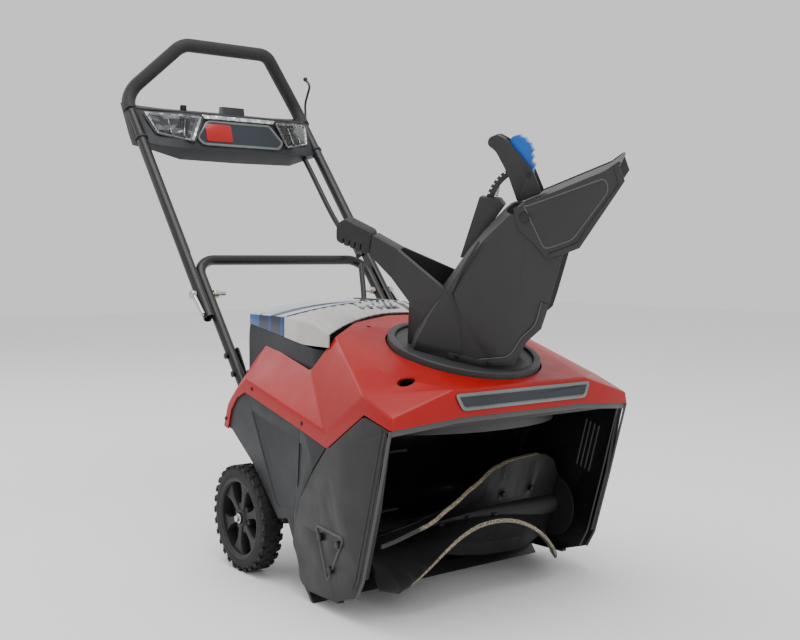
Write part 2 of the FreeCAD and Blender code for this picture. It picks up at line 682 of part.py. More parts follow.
def twisted_strip(spec, flip, near, reach, low, high):
    """A strip that follows a blade's twist; low and high are its faces across the blade."""
    sections = []
    x0, x1 = spec["ends"]
    steps = 22
    for k in range(steps + 1):
        x = x0 + (x1 - x0) * k / steps
        base, out, across = blade_axes(spec, x, flip)
        far = reach or blend(spec["far_reach" if flip else "reach"], x)
        corners = [base + out * near + across * low, base + out * far + across * low,
                   base + out * far + across * high, base + out * near + across * high]
        sections.append(Part.makePolygon(corners + [corners[0]]))
    return Part.makeLoft(sections, True, True)


BLADE_HALVES = [(spec, flip) for spec in (FRONT_BLADE, REAR_BLADE) for flip in (0, 180)]
BLADE_BOLT_OUT = 46.0       # from the shaft's axis to a blade bolt


def bolt_holes(radius):
    holes = []
    for spec, flip in BLADE_HALVES:
        for x in spec["bolts"]:
            base, out, across = blade_axes(spec, x, flip)
            holes.append(Part.makeCylinder(radius, 28, base + out * BLADE_BOLT_OUT - across * 14, across))
    return holes


def rotor_blades():
    """Two rubber blades; each one crosses the shaft and reaches out on both sides."""
    holes = group(bolt_holes(3.1))
    return group([twisted_strip(spec, flip, 22, 0, -BLADE_T / 2, BLADE_T / 2).cut(holes)
                  for spec, flip in BLADE_HALVES])


def rotor_frame():
    """Centre tube with end discs and the twisted steel bars that the blades are bolted to."""
    tube = pipe(20, 17, -250, 250, ROTOR_Y, ROTOR_Z)
    discs = [pipe(62, 19, x, x + 3, ROTOR_Y, ROTOR_Z) for x in (-244, 240)]
    hubs = [pipe(19, SHAFT_R, x, x + 14, ROTOR_Y, ROTOR_Z) for x in (-250, 236)]
    bars = []
    for spec, flip in BLADE_HALVES:
        faces = [spec["bar_side"] * (BLADE_T / 2 + rise) for rise in (0.6, 3.6)]
        bars.append(twisted_strip(spec, flip, 18.5, 58, min(faces), max(faces)))
    frame = fuse([tube] + discs + hubs + bars)
    return frame.cut(group(bolt_holes(3.1)))


def blade_bolts():
    bolts = []
    for spec, flip in BLADE_HALVES:
        for x in spec["bolts"]:
            base, out, across = blade_axes(spec, x, flip)
            outward = across * -spec["bar_side"]
            centre = base + out * BLADE_BOLT_OUT + outward * (BLADE_T / 2 + 2.2)
            bolts.append(hex_bolt(centre, outward, 12, 5, BLADE_T + 6, 3.0))
    return group(bolts)


# --- wheels ---------------------------------------------------------------------------------
def tyre():
    core = pipe(WHEEL_R - 5, 78, WHEEL_IN + 1, WHEEL_OUT - 3, WHEEL_Y, WHEEL_R)
    blocks = []
    count = 26
    for k in range(count):
        a = 360.0 * k / count
        for row, (x0, x1) in enumerate(((WHEEL_IN + 2, WHEEL_IN + 20), (WHEEL_OUT - 23, WHEEL_OUT - 4))):
            angle = math.radians(a + row * 180.0 / count)
            block = Part.makeBox(x1 - x0, 13, 8, V(x0, -6.5, WHEEL_R - 8.0))
            block = block.common(rod(WHEEL_R, x0, x1, 0, 0))
            block.rotate(V(0, 0, 0), X_AXIS, math.degrees(angle))
            block.translate(V(0, WHEEL_Y, WHEEL_R))
            blocks.append(block)
    return fuse([core] + blocks)


def wheel_hub():
    rim = pipe(77.9, 68, WHEEL_IN + 2, WHEEL_OUT - 2, WHEEL_Y, WHEEL_R)
    disc = pipe(69, 14, WHEEL_IN + 14, WHEEL_IN + 18, WHEEL_Y, WHEEL_R)
    boss = pipe(17, BUSH_R, WHEEL_IN, WHEEL_OUT - 6, WHEEL_Y, WHEEL_R)
    spokes = []
    for k in range(6):
        spoke = Part.makeBox(22, 12, 56, V(WHEEL_IN + 16, -6, 15))
        spoke.rotate(V(0, 0, 0), X_AXIS, 60.0 * k)
        spoke.translate(V(0, WHEEL_Y, WHEEL_R))
        spokes.append(spoke)
    return fuse([rim, disc, boss] + spokes)


def wheel_bush():
    return pipe(BUSH_R, AXLE_R + 0.03, WHEEL_IN, WHEEL_OUT - 6, WHEEL_Y, WHEEL_R)


def on_side(shape, side):
    return shape if side > 0 else shape.mirror(V(0, 0, 0), X_AXIS)


# --- chute ----------------------------------------------------------------------------------
# Rows of the chute's wall from the foot up: height, back of the wall, where the flat side starts,
# front edge of the side.
CHUTE_ROWS = [(-4.6, -88, 2, 44), (14, -85, 0, 102), (57, -72, -8, 115), (84, -62, -20, 134),
              (111, -50, -29, 137), (125, -43, -24, 138), (181, -18, 1, 142), (214, 0, 19, 144),
              (262, 30, 46, 50)]


def chute_wall_row(h, back, flat, front):
    half = CHUTE_HALF
    depth = front - flat
    across = [(front, -half), (flat + 0.55 * depth, -half), (flat + min(12, 0.3 * depth), -half),
              (back + 13, -half * 0.90), (back + 3, -half * 0.66), (back, -half * 0.34)]
    row = [V(s, l, h) for s, l in across]
    return row + [V(s, -l, h) for s, l in across[::-1]]


def chute_core(grow):
    """The space inside the chute's outer faces, closed across its open front."""
    rows = []
    for h, back, flat, front in CHUTE_ROWS:
        row = chute_wall_row(h, back - grow, flat, front)
        row = [V(p.x, p.y * (1 + grow / CHUTE_HALF), p.z) for p in row]
        rows.append(Part.makePolygon(row + [row[0]]))
    return Part.makeLoft(rows, True, True)


def turning_ring():
    return Part.makeCylinder(COLLAR_BORE_R - 0.4, 20, V(0, 0, -24.6)).cut(
        Part.makeCylinder(84, 30, V(0, 0, -30)))


PIVOT_TAB = [(42, 256), (61, 267.5), (77, 268), (81, 259), (80, 242), (50, 238)]


def chute_body():
    rows = [chute_wall_row(*values) for values in CHUTE_ROWS[::-1]]
    walls = grid_sheet(rows, CHUTE_WALL)
    tabs = [chute_slab(PIVOT_TAB, CHUTE_HALF - CHUTE_WALL, CHUTE_HALF),
            chute_slab(PIVOT_TAB, -CHUTE_HALF, CHUTE_WALL - CHUTE_HALF)]
    body = fuse([walls] + tabs).cut(turning_ring())
    body = body.cut(Part.makeCylinder(5.0, 300, V(TILT_S, -150, TILT_H), Y_AXIS))
    for s, h in CHUTE_BOLTS:
        body = body.cut(Part.makeCylinder(2.5, 300, V(s, -150, h), Y_AXIS))
    return on_chute(body)


def chute_turntable():
    return on_chute(turning_ring())


def chute_quadrant():
    """The rear post of the chute with the toothed sector that holds the deflector's tilt."""
    post = chute_slab([(-20, 268), (14, 271), (24, 262), (-24, 158), (-34, 158)], -14, 14)
    sector = Part.makeCylinder(80, 8, V(TILT_S, -4, TILT_H), Y_AXIS)
    sector = sector.cut(Part.makeCylinder(68, 10, V(TILT_S, -5, TILT_H), Y_AXIS))
    keep = chute_slab([(TILT_S, TILT_H), (TILT_S - 100, TILT_H - 12), (TILT_S - 110, TILT_H + 90),
                       (TILT_S - 48, TILT_H + 90)], -5, 5)
    sector = sector.common(keep)
    for k in range(9):
        a = math.radians(124 + 6.5 * k)
        notch = Part.makeBox(4, 10, 7, V(-2, -5, 76.5))
        notch.rotate(V(0, 0, 0), Y_AXIS, 90 - math.degrees(a))
        notch.translate(V(TILT_S, 0, TILT_H))
        sector = sector.cut(notch)
    return on_chute(fuse([post, sector]).cut(chute_core(0.4)))


def arm_member(side):
    """One side of the wishbone: it runs from the chute's foot in to the grip."""
    def place(s, h):
        l = 84 - (-34 - s) / 110.0 * 62.0
        return V(s, side * l, h)
    outline = [(-34, 109), (-144, 148), (-158, 146), (-158, 103), (-104, 67), (-93, -4.6), (-70, -4.6)]
    face = [place(s, h) for s, h in outline]
    inward = V(0.49, -side * 0.87, 0)
    return polygon(face).extrude(inward * 9)


def chute_arm():
    head = chute_slab(rounded([(-142, 148), (-196, 165), (-196, 130), (-142, 92)], 5, 2), -19, 19)
    core = chute_slab([(-190, 160), (-246, 172), (-246, 150), (-190, 136)], -12, 12)
    arm = fuse([arm_member(1), arm_member(-1), head, core])
    return on_chute(arm.cut(chute_core(0.4)))


def chute_grip():
    corners = [(-196.5, 168), (-252, 183), (-262, 168), (-258, 142), (-246, 138), (-196.5, 128)]
    outline = rounded(corners, 8, 3)
    body = chute_slab(outline, -21, 21)
    for s in (-212, -223, -234, -245):
        body = body.cut(chute_slab([(s - 1.5, 120), (s + 1.5, 120), (s + 1.5, 144 - (s + 200) * 0.1),
                                    (s - 1.5, 144 - (s + 200) * 0.1)], -30, 30))
    return on_chute(body.cut(chute_slab([(-190, 160), (-246, 172), (-246, 150), (-190, 136)], -12, 12)))


CHUTE_BOLTS = ((4, 6), (60, 8))


def chute_bolts():
    bolts = []
    for side in (-1, 1):
        for s, h in CHUTE_BOLTS:
            centre = V(s, side * (CHUTE_HALF + 0.1), h)
            bolts.append(hex_bolt(centre, V(0, side, 0), 11, 4, CHUTE_WALL + 2, 2.5))
    return on_chute(group(bolts))


# --- deflector ------------------------------------------------------------------------------
CHEEK_OUTLINE = [(50, 272), (181, 360), (198, 378), (215, 350), (168, 231), (145, 216), (120, 202),
                 (96, 222), (66, 240)]


def deflector():
    """The hood over the chute's mouth: a roof between two cheeks, open below and ahead."""
    inside, outside = CHUTE_HALF + 0.6, CHUTE_HALF + 3.6
    roof = chute_slab([(52, 271), (181, 357.5), (198, 376), (202, 371), (184, 352), (56, 266)],
                      -outside, outside)
    cheeks = [chute_slab(CHEEK_OUTLINE, inside, outside), chute_slab(CHEEK_OUTLINE, -outside, -inside)]
    body = fuse([roof] + cheeks)
    bore = Part.makeCylinder(5.05, 300, V(TILT_S, -150, TILT_H), Y_AXIS)
    return on_chute(body.cut(bore))


def tilt_pins():
    pins = []
    for side in (-1, 1):
        start = side * (CHUTE_HALF - CHUTE_WALL - 2)
        pin = Part.makeCylinder(4.99, 11, V(TILT_S, start, TILT_H), V(0, side, 0))
        head = Part.makeCylinder(8.5, 2.5, V(TILT_S, side * (CHUTE_HALF + 4), TILT_H), V(0, side, 0))
        pins.append(pin.fuse(head).removeSplitter())
    return on_chute(group(pins))


TRIGGER_S, TRIGGER_H = 56.0, 322.0


def deflector_bracket():
    """The tilt handle: two cheeks joined at the top, which straddle the toothed sector."""
    cheek = [(47, 272), (84, 296), (60, 332), (18, 366), (10, 372), (-10, 378), (-22, 370), (-22, 358),
             (-6, 350), (20, 318)]
    cheek = rounded(cheek, 5, 2)
    body = [chute_slab(cheek, 15, 21), chute_slab(cheek, -21, -15)]
    crown = [(-21, 359), (-21, 369), (-10, 377), (6, 371.5), (2, 362), (-6, 352)]
    cap = chute_slab(rounded(crown, 3, 2), -16, 16)
    pin_hole = Part.makeCylinder(3.0, 60, V(TRIGGER_S, -30, TRIGGER_H), Y_AXIS)
    return on_chute(fuse(body + [cap]).cut(pin_hole))


def tilt_trigger():
    outline = [(50, 314), (64, 318), (60, 334), (53, 352), (52, 366), (38, 378), (24, 382), (14, 378),
               (14, 366), (28, 352), (40, 330)]
    body = chute_slab(rounded(outline, 4, 2), -12, 12)
    hole = Part.makeCylinder(3.05, 40, V(TRIGGER_S, -20, TRIGGER_H), Y_AXIS)
    return on_chute(body.cut(hole))


def trigger_pin():
    pin = Part.makeCylinder(3.0, 46, V(TRIGGER_S, -23, TRIGGER_H), Y_AXIS)
    return on_chute(pin)


# --- handle ---------------------------------------------------------------------------------
def lower_handle():
    u_low, u_top = LEG_FOOT_U, LEG_TOP_U
    points = [on_tube(-LEG_X, u_low), on_tube(-LEG_X, u_top), on_tube(LEG_X, u_top), on_tube(LEG_X, u_low)]
    frame = bent_tube(points, 45, LEG_R, 1.8)
    for u in LEG_BOLTS:
        p = on_tube(0, u)
        frame = frame.cut(rod(3.9, -300, 300, p.y, p.z))
    pivot = on_tube(0, FOLD_U)
    return frame.cut(rod(5.0, -300, 300, pivot.y, pivot.z))


FLAT_X = 229.5              # inner face of the flattened lower ends of the upper tube
LOOP_BEND_U = 372.0
LOOP_RADII = [58, 46, 46, 58]
LOOP_TOP_X, LOOP_TOP_Y, LOOP_TOP_Z = 114.0, 1057.0, 1106.0


def loop_points(start_u):
    right = [on_tube(UPPER_X, start_u), on_tube(UPPER_X, LOOP_BEND_U),
             V(LOOP_TOP_X, LOOP_TOP_Y, LOOP_TOP_Z)]
    return right + [V(-p.x, p.y, p.z) for p in right[::-1]]


def upper_handle():
    """One long tube: up from the fold joint, round the loop and down again."""
    tube = bent_tube(loop_points(-298), LOOP_RADII, TUBE_R, TUBE_WALL)
    webs = []
    for side in (-1, 1):
        lower, upper = on_tube(0, -310), on_tube(0, -122)
        across = on_tube(0, 0, 20) - on_tube(0, 0)
        corners = [V(side * FLAT_X, p.y, p.z)
                   for p in (lower - across, lower + across, upper + across, upper - across)]
        tube = tube.cut(polygon(corners).extrude(V(-side * 40, 0, 0)))
        along = (on_tube(0, 1) - on_tube(0, 0)).normalize()
        bar = Part.makeCylinder(TUBE_R - 0.1, 176, on_tube(side * UPPER_X, -298), along)
        webs.append(bar.common(polygon(corners).extrude(V(side * TUBE_WALL, 0, 0))))
    tube = fuse([tube] + webs)
    pivot = on_tube(0, FOLD_U)
    return tube.cut(rod(5.0, -300, 300, pivot.y, pivot.z))


def loop_grip():
    outer = round_bar(loop_points(318), LOOP_RADII, GRIP_R)
    return outer.cut(round_bar(loop_points(300), LOOP_RADII, TUBE_R + 0.02)).cut(console_shell(0))


CONSOLE_STATIONS = [
    (0, (998, 938), (1098, 958), (1062, 868), (1004, 826), (974, 852)),
    (148, (1000, 937), (1098, 957), (1062, 868), (1006, 828), (977, 854)),
    (205, (1046, 944), (1106, 960), (1058, 878), (1022, 846), (1000, 858)),
    (250, (1082, 949), (1110, 964), (1060, 884), (1040, 858), (1019, 866))]


def console_shell(shrink):
    rows = []
    stations = [(-x, *rest) for x, *rest in CONSOLE_STATIONS[:0:-1]] + CONSOLE_STATIONS
    for x, *section in stations:
        cy = sum(p[0] for p in section) / len(section)
        cz = sum(p[1] for p in section) / len(section)
        row = []
        for y, z in section:
            away = V(0, y - cy, z - cz)
            pull = away.normalize() * shrink * 1.35
            row.append(V(x - math.copysign(shrink, x) if abs(x) == 250 else x, y - pull.y, z - pull.z))
        rows.append(Part.makePolygon(row + [row[0]]))
    return Part.makeLoft(rows, True, True)


def console():
    body = console_shell(0).cut(console_shell(3.0))
    body = body.cut(round_bar(loop_points(150), LOOP_RADII, TUBE_R + 0.3)).cut(headlamp_lenses())
    up = (HARNESS_UPPER[0] - HARNESS_UPPER[1]).normalize()
    body = body.cut(Part.makeCylinder(HARNESS_R + 0.3, 30, HARNESS_UPPER[0] - up * 28, up))
    hump = slab([(1066, 950), (1092, 955), (1090, 972), (1070, 970)], -2, 56)
    body = fuse([body, hump])
    button_bore = Part.makeCylinder(8.3, 40, V(-103, 1080, 940), Z_AXIS)
    return body.cut(button_bore)


def console_badge():
    """Hexagonal plate on the console's sloping front."""
    outline = [(-118, 30), (-84, 78), (84, 78), (118, 30), (102, 12), (-102, 12)]
    lean = V(0, 998 - 974, 938 - 852).normalize()
    base = V(0, 973.0, 850)
    face = [base + V(x, 0, 0) + lean * up for x, up in outline]
    return polygon(face).extrude(V(0, -2.4, 0.6))


def headlamp_lenses():
    """Two faceted lamp covers on the console's front corners."""
    lenses = []
    rim = ((124, 974, 867), (96, 989, 929), (150, 991, 931), (222, 1049, 938), (204, 1011, 884))
    for side in (-1, 1):
        points = [V(side * x, y, z) for x, y, z in rim]
        middle = sum(points, V(0, 0, 0)) * (1 / len(points)) + V(0, -8, 2)
        fan = [(k, (k + 1) % 5, 5) if side < 0 else ((k + 1) % 5, k, 5) for k in range(5)]
        lenses.append(sheet_solid(points + [middle], fan, 3.0))
    return group(lenses)


def power_button():
    cap = Part.makeCylinder(8.0, 22, V(-103, 1080, 944), Z_AXIS)
    return cap.makeFillet(1.5, [e for e in cap.Edges if e.BoundBox.ZMin > 965])


def control_lever():
    """The thin bent rod at the operator's left end of the console."""
    points = [V(258, 1104, 948), V(258, 1108, 1004), V(258, 1082, 1048), V(258, 1104, 1066)]
    bar = round_bar(points, [40, 12], 3.0)
    boss = rod(8, 250.5, 262, 1104, 948)
    knob = Part.makeSphere(6, V(258, 1106, 1067.5))
    return fuse([bar, boss, knob])


def fold_bolts():
    """Pivot bolts of the fold joint, with their nuts on the inside."""
    bolts = []
    p = on_tube(0, FOLD_U)
    for side in (-1, 1):
        inner, outer = side * (LEG_X - LEG_R - 28), side * (UPPER_X + TUBE_R + 9)
        shank = rod(4.95, min(inner, outer), max(inner, outer), p.y, p.z)
        nut_x = side * (LEG_X - LEG_R - 4.4)
        nut = rod(8.5, nut_x - 4, nut_x + 4, p.y, p.z)
        bolts.append(fuse([shank, nut]))
    return group(bolts)


def cam_lever():
    """Quick-release lever outside the left fold joint."""
    x = UPPER_X + TUBE_R + 0.4
    p = on_tube(0, FOLD_U)
    boss = rod(9, x, x + 9, p.y, p.z).cut(rod(5.05, x - 1, x + 10, p.y, p.z))
    tip = V(0, p.y - 46, p.z - 40)
    direction = (tip - V(0, p.y, p.z)).normalize()
    side = V(0, -direction.z, direction.y) * 5.5
    root = V(0, p.y, p.z) + direction * 7
    corners = [V(x + 2, q.y, q.z) for q in (root - side, tip - side, tip + side, root + side)]
    blade = polygon(corners).extrude(V(5, 0, 0))
    return fuse([boss, blade])


# --- control harness ------------------------------------------------------------------------
HARNESS_UPPER = [V(192, 1008, 852), V(193, 981, 821), V(193, 934, 766), V(192, 882, 708),
                 V(189, 834, 666), V(184, 784, 638), V(178, 752, 620), V(172, 732, 602)]
HARNESS_LOWER = [V(168, 717, 581), V(156, 694, 550), V(140, 664, 510), V(118, 632, 462), V(100, 611, 414),
                 V(HARNESS_X, 594.5, 371.6), V(HARNESS_X, 577.5, 352.3)]


def harness(points, name):
    radii = []
    for i in range(1, len(points) - 1):
        back, ahead = points[i - 1] - points[i], points[i + 1] - points[i]
        turn = math.pi - back.getAngle(ahead)
        radii.append(0.45 * min(back.Length, ahead.Length) / math.tan(turn / 2))
    path = bent_path(points, radii)
    conduit = round_bar(points, radii, HARNESS_R)
    ideal = math.pi * HARNESS_R ** 2 * path.Length
    print(name, "length %.0f" % path.Length, "radii", ["%.0f" % r for r in radii],
          "volume ratio %.3f" % (conduit.Volume / ideal))
    return conduit


# --- write every part -----------------------------------------------------------------------
def parts():
    yield "side_plate_left", side_plate_left()
    yield "side_plate_right", side_plate_right()
    yield "auger_housing", auger_housing()
    yield "scraper_bar", scraper_bar()
    yield "inlet_duct", inlet_duct()
    yield "hood", hood()
    yield "hood_emblem_plate", hood_emblem_plate()
    yield "side_panel_left", side_panel(1)
    yield "side_panel_right", side_panel(-1)
    yield "chute_collar", chute_collar()
    yield "battery_tub", battery_tub()
    yield "battery_packs", battery_packs()
    yield "lid_hinge_pins", lid_hinge_pins()
    yield "rear_cover", rear_cover()
    yield "cradle_frame", cradle_frame()
    yield "drive_motor", drive_motor()
    yield "drive_belt", drive_belt()
    yield "belt_cover", belt_cover()
    yield "rotor_bearings", rotor_bearings()
    yield "wheel_axle", wheel_axle()
    yield "lower_handle", lower_handle()
    yield "fold_bolts", fold_bolts()
    yield "frame_bolts", frame_bolts()
    yield "housing_screws", housing_screws()
    yield "harness_lower", harness(HARNESS_LOWER, "harness_lower")
    yield "motor_pulley", motor_pulley()
    yield "rotor_shaft", rotor_shaft()
    yield "rotor_frame", rotor_frame()
    yield "rotor_blades", rotor_blades()
    yield "blade_bolts", blade_bolts()
    yield "rotor_pulley", rotor_pulley()
    for name, side in (("left", 1), ("right", -1)):
        yield "tyre_" + name, on_side(tyre(), side)
        yield "wheel_hub_" + name, on_side(wheel_hub(), side)
        yield "wheel_bush_" + name, on_side(wheel_bush(), side)
    yield "chute_turntable", chute_turntable()
    yield "chute_body", chute_body()
    yield "chute_quadrant", chute_quadrant()
    yield "chute_arm", chute_arm()
    yield "chute_grip", chute_grip()
    yield "chute_bolts", chute_bolts()
    yield "tilt_pins", tilt_pins()
    yield "deflector", deflector()
    yield "deflector_bracket", deflector_bracket()
    yield "trigger_pin", trigger_pin()
    yield "tilt_trigger", tilt_trigger()
    yield "battery_lid", battery_lid()
    yield "lid_window", lid_window()
    yield "upper_handle", upper_handle()
    yield "loop_grip", loop_grip()
    yield "console", console()
    yield "console_badge", console_badge()
    yield "headlamp_lenses", headlamp_lenses()
    yield "harness_upper", harness(HARNESS_UPPER, "harness_upper")
    yield "power_button", power_button()
    yield "control_lever", control_lever()
    yield "cam_lever_left", cam_lever()
    yield "cam_lever_right", on_side(cam_lever(), -1)


def write_all():
    os.makedirs("parts", exist_ok=True)
    whole = FreeCAD.BoundBox()
    for node, shape in parts():
        shape = shape.copy()
        shape.translate(FRAME_SHIFT)
        shape.exportStep("parts/" + node + ".step")
        whole.add(shape.BoundBox)
        if not shape.isValid() or not shape.Solids:
            print("check", node, "valid", shape.isValid(), "solids", len(shape.Solids))
    print("x %.1f %.1f  y %.1f %.1f  z %.1f %.1f" % (whole.XMin, whole.XMax, whole.YMin, whole.YMax,
                                                     whole.ZMin, whole.ZMax))


write_all()
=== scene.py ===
import bpy
import bmesh
import json
import math
from mathutils import Matrix, Vector

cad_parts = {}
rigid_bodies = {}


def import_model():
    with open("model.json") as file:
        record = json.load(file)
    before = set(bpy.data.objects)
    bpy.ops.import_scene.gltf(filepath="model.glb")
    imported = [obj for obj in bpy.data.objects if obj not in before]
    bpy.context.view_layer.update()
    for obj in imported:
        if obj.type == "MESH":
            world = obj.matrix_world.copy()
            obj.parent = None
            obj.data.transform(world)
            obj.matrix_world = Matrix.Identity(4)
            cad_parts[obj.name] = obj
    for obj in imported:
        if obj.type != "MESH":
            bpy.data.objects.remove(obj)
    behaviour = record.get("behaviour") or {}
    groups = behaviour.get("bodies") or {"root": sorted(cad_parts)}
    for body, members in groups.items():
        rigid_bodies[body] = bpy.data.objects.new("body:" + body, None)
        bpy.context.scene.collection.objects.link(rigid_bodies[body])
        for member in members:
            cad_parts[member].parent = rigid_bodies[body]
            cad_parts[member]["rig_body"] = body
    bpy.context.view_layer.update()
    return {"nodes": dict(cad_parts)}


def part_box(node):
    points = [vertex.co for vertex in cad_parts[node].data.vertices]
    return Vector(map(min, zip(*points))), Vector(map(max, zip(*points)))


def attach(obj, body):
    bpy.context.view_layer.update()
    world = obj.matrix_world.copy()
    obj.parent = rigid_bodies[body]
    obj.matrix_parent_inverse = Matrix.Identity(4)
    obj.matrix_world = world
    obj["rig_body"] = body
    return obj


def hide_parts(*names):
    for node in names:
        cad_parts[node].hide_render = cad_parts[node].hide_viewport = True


# Looks of a walk-behind battery snow blower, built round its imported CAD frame.
# Positions are given in millimetres in the machine's own axes: X across, Y rearward from the hood's
# front edge, Z up.  at() turns them into the frame's metres, with the wheel axle as the tie.
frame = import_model()
NODES = frame["nodes"]

MM = 0.001
WHEEL_Y, WHEEL_R = 480.0, 101.6
axle_low, axle_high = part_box("wheel_axle")
SHIFT = (axle_low.y + axle_high.y) / 2 - WHEEL_Y * MM

HALF_WIDTH = 270.0
ROTOR_Y, ROTOR_Z = 168.0, 118.0
COLLAR_TILT, CHUTE_TURN = 15.7, 40.0
COLLAR_R = 139.0
CHUTE_HALF = 90.0
TUBE_ANGLE, TUBE_Y, TUBE_Z = 49.5, 873.9, 700.0
BAY_HALF = 215.0
LID_SPLIT_Y = 412.0
SKIRT_TOP_Z = 486.8
WORN_FROM_R, WORN_TO_R = 114.6, 115.4


def at(x, y, z):
    return Vector((x * MM, y * MM + SHIFT, z * MM))


COLLAR = Matrix.Translation(at(0, 145, 442)) @ Matrix.Rotation(math.radians(COLLAR_TILT), 4, "X")
CHUTE = COLLAR @ Matrix.Rotation(math.radians(CHUTE_TURN - 90), 4, "Z")


def on_chute(s, l, h):
    """s along the throw, l across it, h up the turning axis."""
    return CHUTE @ (Vector((s, l, h)) * MM)


def on_tube(x, u, w=0.0):
    """u up along the handle's tubes, w in front of them."""
    a = math.radians(TUBE_ANGLE)
    return at(x, TUBE_Y + u * math.cos(a) - w * math.sin(a), TUBE_Z + u * math.sin(a) + w * math.cos(a))


# --- materials ------------------------------------------------------------------------------
def start_material(name):
    mat = bpy.data.materials.new(name)
    mat.use_nodes = True
    nodes, links = mat.node_tree.nodes, mat.node_tree.links
    return mat, nodes, links, nodes["Principled BSDF"], nodes.new("ShaderNodeTexCoord")


def noise(nodes, links, coords, scale, detail=4.0, stretch=None):
    tex = nodes.new("ShaderNodeTexNoise")
    tex.inputs["Scale"].default_value = scale
    tex.inputs["Detail"].default_value = detail
    if stretch:
        place = nodes.new("ShaderNodeMapping")
        place.inputs["Scale"].default_value = stretch
        links.new(coords.outputs["Object"], place.inputs["Vector"])
        links.new(place.outputs["Vector"], tex.inputs["Vector"])
    else:
        links.new(coords.outputs["Object"], tex.inputs["Vector"])
    return tex


def ramp(nodes, links, source, stops, mode="LINEAR"):
    node = nodes.new("ShaderNodeValToRGB")
    node.color_ramp.interpolation = mode
    elements = node.color_ramp.elements
    elements[0].position, elements[0].color = stops[0][0], (*stops[0][1], 1)
    elements[1].position, elements[1].color = stops[1][0], (*stops[1][1], 1)
    for position, colour in stops[2:]:
        elements.new(position).color = (*colour, 1)
    links.new(source, node.inputs["Fac"])
    return node


def shade(colour, factor):
    return tuple(min(1.0, c * factor) for c in colour)


def add_roughness(nodes, links, coords, shader, roughness, scuff, scale):
    smudge = noise(nodes, links, coords, scale, 6.0)
    spread = nodes.new("ShaderNodeMapRange")
    spread.inputs["From Min"].default_value, spread.inputs["From Max"].default_value = 0.3, 0.7
    spread.inputs["To Min"].default_value = max(0.03, roughness - scuff)
    spread.inputs["To Max"].default_value = min(1.0, roughness + scuff)
    links.new(smudge.outputs["Fac"], spread.inputs["Value"])
    links.new(spread.outputs["Result"], shader.inputs["Roughness"])


def add_bump(nodes, links, shader, height, strength, distance):
    bump = nodes.new("ShaderNodeBump")
    bump.inputs["Strength"].default_value = strength
    bump.inputs["Distance"].default_value = distance
    links.new(height, bump.inputs["Height"])
    links.new(bump.outputs["Normal"], shader.inputs["Normal"])


def moulded(name, colour, roughness, grain=0.25, grain_scale=1400.0, drift=0.1, scuff=0.06, coat=0.0,
            metallic=0.0, specular=0.34):
    """Plastic, paint or rubber: slow colour drift, smudged roughness and a fine surface grain."""
    mat, nodes, links, shader, coords = start_material(name)
    cloud = noise(nodes, links, coords, 7.0)
    tint = ramp(nodes, links, cloud.outputs["Fac"],
                [(0.35, shade(colour, 1 - drift)), (0.65, shade(colour, 1 + drift))])
    links.new(tint.outputs["Color"], shader.inputs["Base Color"])
    add_roughness(nodes, links, coords, shader, roughness, scuff, 26.0)
    fine = noise(nodes, links, coords, grain_scale, 2.0)
    add_bump(nodes, links, shader, fine.outputs["Fac"], grain, 0.0004)
    shader.inputs["Metallic"].default_value = metallic
    shader.inputs["Coat Weight"].default_value = coat
    shader.inputs["Coat Roughness"].default_value = 0.08
    shader.inputs["Specular IOR Level"].default_value = specular
    return mat


def plated(name, colour, roughness, stretch=(40.0, 900.0, 900.0)):
    """Bare or plated metal with a drawn grain."""
    mat, nodes, links, shader, coords = start_material(name)
    grain = noise(nodes, links, coords, 1.0, 5.0, stretch)
    tint = ramp(nodes, links, grain.outputs["Fac"], [(0.3, shade(colour, 0.78)), (0.7, colour)])
    links.new(tint.outputs["Color"], shader.inputs["Base Color"])
    add_roughness(nodes, links, coords, shader, roughness, 0.09, 60.0)
    add_bump(nodes, links, shader, grain.outputs["Fac"], 0.12, 0.0003)
    shader.inputs["Metallic"].default_value = 1.0
    return mat


def faceted_reflector():
    mat, nodes, links, shader, coords = start_material("lamp_reflector")
    cells = nodes.new("ShaderNodeTexVoronoi")
    cells.inputs["Scale"].default_value = 75.0
    links.new(coords.outputs["Object"], cells.inputs["Vector"])
    tint = ramp(nodes, links, cells.outputs["Distance"],
                [(0.0, (0.95, 0.95, 0.96)), (0.35, (0.78, 0.79, 0.80)), (0.6, (0.42, 0.43, 0.45))])
    links.new(tint.outputs["Color"], shader.inputs["Base Color"])
    add_bump(nodes, links, shader, cells.outputs["Distance"], 0.8, 0.004)
    shader.inputs["Metallic"].default_value = 0.55
    shader.inputs["Roughness"].default_value = 0.16
    return mat


def clear_moulding(name, colour, roughness, strength):
    mat, nodes, links, shader, coords = start_material(name)
    waves = noise(nodes, links, coords, 90.0, 2.0)
    tint = ramp(nodes, links, waves.outputs["Fac"], [(0.3, shade(colour, 0.9)), (0.7, colour)])
    links.new(tint.outputs["Color"], shader.inputs["Base Color"])
    add_bump(nodes, links, shader, waves.outputs["Fac"], 0.1, 0.001)
    shader.inputs["Roughness"].default_value = roughness
    shader.inputs["Transmission Weight"].default_value = strength
    shader.inputs["IOR"].default_value = 1.45
    return mat


def axis_value(nodes, links, coords, axis):
    split = nodes.new("ShaderNodeSeparateXYZ")
    links.new(coords.outputs["Object"], split.inputs["Vector"])
    return split.outputs[axis]


def spread_value(nodes, links, source, low, high):
    node = nodes.new("ShaderNodeMapRange")
    node.inputs["From Min"].default_value, node.inputs["From Max"].default_value = low, high
    links.new(source, node.inputs["Value"])
    return node.outputs["Result"]


